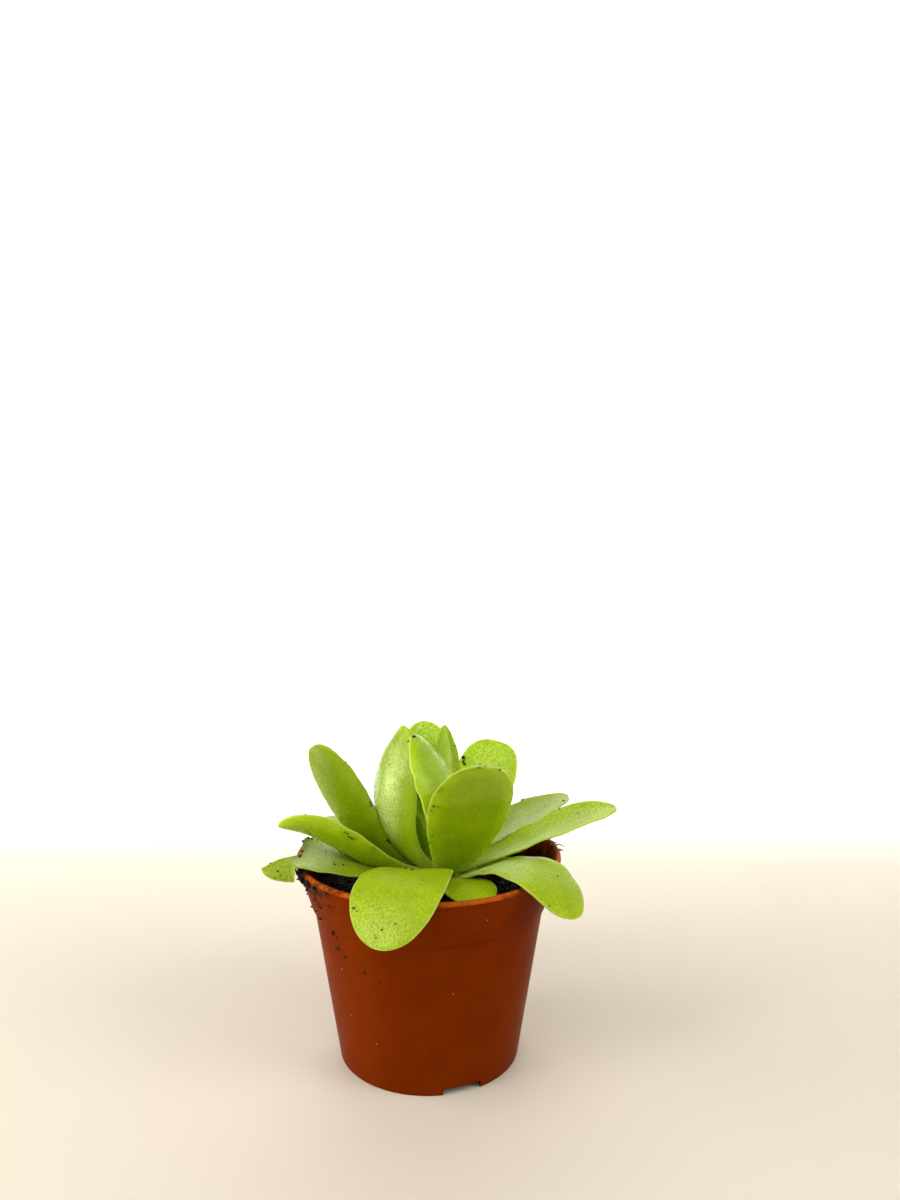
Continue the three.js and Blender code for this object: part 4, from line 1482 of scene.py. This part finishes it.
# %% The sticky drops
DROPS_PER_SQUARE_MM = 1.5
DROP_RADII = (0.09, 0.15)
# Drops sit where a triangle's corners are this much on the upper face and this far from the crown.
UPPER_ENOUGH = 0.4
FROM_CROWN = 0.06
BEAD = np.array([(1, 0, 0), (0, 1, 0), (-1, 0, 0), (0, -1, 0), (0, 0, 1), (0, 0, -1)], float)
BEAD_FACES = np.array(
    [(0, 1, 4), (1, 2, 4), (2, 3, 4), (3, 0, 4), (1, 0, 5), (2, 1, 5), (3, 2, 5), (0, 3, 5)]
)
print("Faces of a drop:", len(BEAD_FACES))

# %% The drops on a blade
DROP_DEEP = (0.40, 0.53, 0.008, 1)
DROP_CLEAR = (0.5, 0.62, 0.04, 1)

drop = new_material("sticky_drop", {"Roughness": 0.12, "Coat Weight": 0.6, "Coat Roughness": 0.03})
drop_color = blend(drop, cloudy(drop, 1.5), DROP_DEEP, DROP_CLEAR)
set_surface(drop, {"Base Color": drop_color})


def upper_triangles(mesh, facts):
    """The corners of the triangles on the upper face, away from the crown."""
    mesh.calc_loop_triangles()
    corners = np.empty(len(mesh.loop_triangles) * 3, np.int32)
    mesh.loop_triangles.foreach_get("vertices", corners)
    corners = corners.reshape(-1, 3)
    upper = facts[corners, 1].min(axis=1) > UPPER_ENOUGH
    clear_of_crown = facts[corners, 2].min(axis=1) > FROM_CROWN
    return mesh_points(mesh)[corners[upper & clear_of_crown]]


def make_drops(triangles):
    first, second, third = triangles.transpose(1, 0, 2)
    normals = np.cross(second - first, third - first)
    areas = np.linalg.norm(normals, axis=1) / 2
    picks = rng.choice(len(areas), int(areas.sum() * DROPS_PER_SQUARE_MM), p=areas / areas.sum())
    u, v = rng.random((2, len(picks), 1))
    u, v = np.where(u + v > 1, 1 - u, u), np.where(u + v > 1, 1 - v, v)
    spots_on = first[picks] + u * (second - first)[picks] + v * (third - first)[picks]
    up = normals[picks] / (2 * areas[picks, None])
    radii = rng.uniform(*DROP_RADII, (len(picks), 1))
    middles = spots_on + up * radii * 0.9
    points = middles[:, None, :] + BEAD[None] * radii[:, None]
    faces = BEAD_FACES[None] + 6 * np.arange(len(picks))[:, None, None]
    return points.reshape(-1, 3), faces.reshape(-1, 3).tolist()


# %% [markdown]
# ## The crown and the growing of the leaves
#
# The crown is the short pale stem that all leaves sit on. Leaves press against each other there, so
# the ones named first keep their full shape, and each later one is cut clear of them. Without that
# cut, blades would run through each other like paper in a bad collage.

# %% The crown
CROWN_PALE = (0.42, 0.5, 0.09, 1)
CROWN_DEEP = (0.22, 0.3, 0.04, 1)
# Corners as radius, height and rounding.
CROWN_CORNERS = (
    (0, 40, 0), (2.2, 40, 0.8), (4.6, 55, 2), (8.4, 58.2, 0.8), (9.0, 60.6, 1), (8.4, 63.6, 1.2),
    (6.6, 66.4, 1.2), (4.2, 68.6, 1), (1.6, 70, 0.6), (0, 70.2, 0),
)

crown_skin = new_material("crown_skin", {**flesh, "Roughness": 0.5})
crown_mottle = cloudy(crown_skin, 3, detail=5)
crown_color = blend(crown_skin, crown_mottle, CROWN_PALE, CROWN_DEEP)
crown_relief = relief(crown_skin, cloudy(crown_skin, 1.5, detail=5), 0.3)
set_surface(crown_skin, {"Base Color": crown_color, "Normal": crown_relief})


def make_crown(grow=0.0, segments=96):
    points, faces = turned(rounded(CROWN_CORNERS), segments)
    points[:, :2] *= 1 + grow / 8
    points[:, 2] += np.where(points[:, 2] > 60, grow, -grow)
    return make_mesh("crown", points + np.array(CROWN_MIDDLE), faces)


crown_mesh = make_crown()
crown_mesh.transform(Matrix.Scale(MM, 4))
crown = add_piece("crown_stem", crown_mesh, crown_skin)
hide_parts("crown")
print("Crown faces:", len(crown_mesh.polygons))


# %% The leaves, one after another
LEAF_CLEARANCE = 0.4
# Edges bent by more than this many degrees stay sharp.
LEAF_CREASE = 62
# The rings and ring points of the plainer blades that later leaves keep clear of.
PLAIN_RINGS = (14, 14)
PLAIN_POINTS = 28


def grow_leaf(name, leaf, seed, kept_clear):
    """One finished leaf with its drops; returns what later leaves have to keep clear of."""
    whole = make_blade(leaf, seed)
    blade = combine(solid(whole.copy()), solid(kept_clear.copy()), "DIFFERENCE")
    keep_largest_body(blade)
    facts = nearest_facts(whole, blade, blade_facts(leaf))
    drops = make_mesh("drops", *make_drops(upper_triangles(blade, facts)), MM)
    leaf_specks.extend(peat_specks(blade, name, facts))
    paint_blade(blade, name, facts)
    blade.transform(Matrix.Scale(MM, 4))
    piece = add_piece(name + "_blade", blade, leaf_skin)
    blade.set_sharp_from_angle(angle=math.radians(LEAF_CREASE))
    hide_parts(name)
    add_piece(name + "_drops", drops, drop)
    grown = make_blade(leaf, seed, PLAIN_RINGS, PLAIN_POINTS, LEAF_CLEARANCE)
    return combine(solid(kept_clear), solid(grown), "UNION")


leaf_specks = []
kept_clear = make_crown(grow=CLEARANCE, segments=24)
for seed, (name, leaf) in enumerate(LEAVES.items()):
    kept_clear = grow_leaf(name, leaf, seed, kept_clear)
add_loose("leaf_specks", leaf_specks, peat)
print("Points that leaves kept clear of:", len(kept_clear.vertices))

# %% [markdown]
# ## The last measurements
#
# The box of the CAD model and the box of the dressed one are measured, and how far each side of the
# dressed one lies from that of the CAD one is printed, with the count of triangles.

# %% Sizes, and the end
dressed_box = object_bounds()
triangles = sum(len(face.vertices) - 2 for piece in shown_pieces() for face in piece.data.polygons)
print("Triangles:", triangles)
growth = [round(abs(a - b) / MM, 2) for i in (0, 1) for a, b in zip(cad_box[i], dressed_box[i])]
print("Growth in mm:", growth)
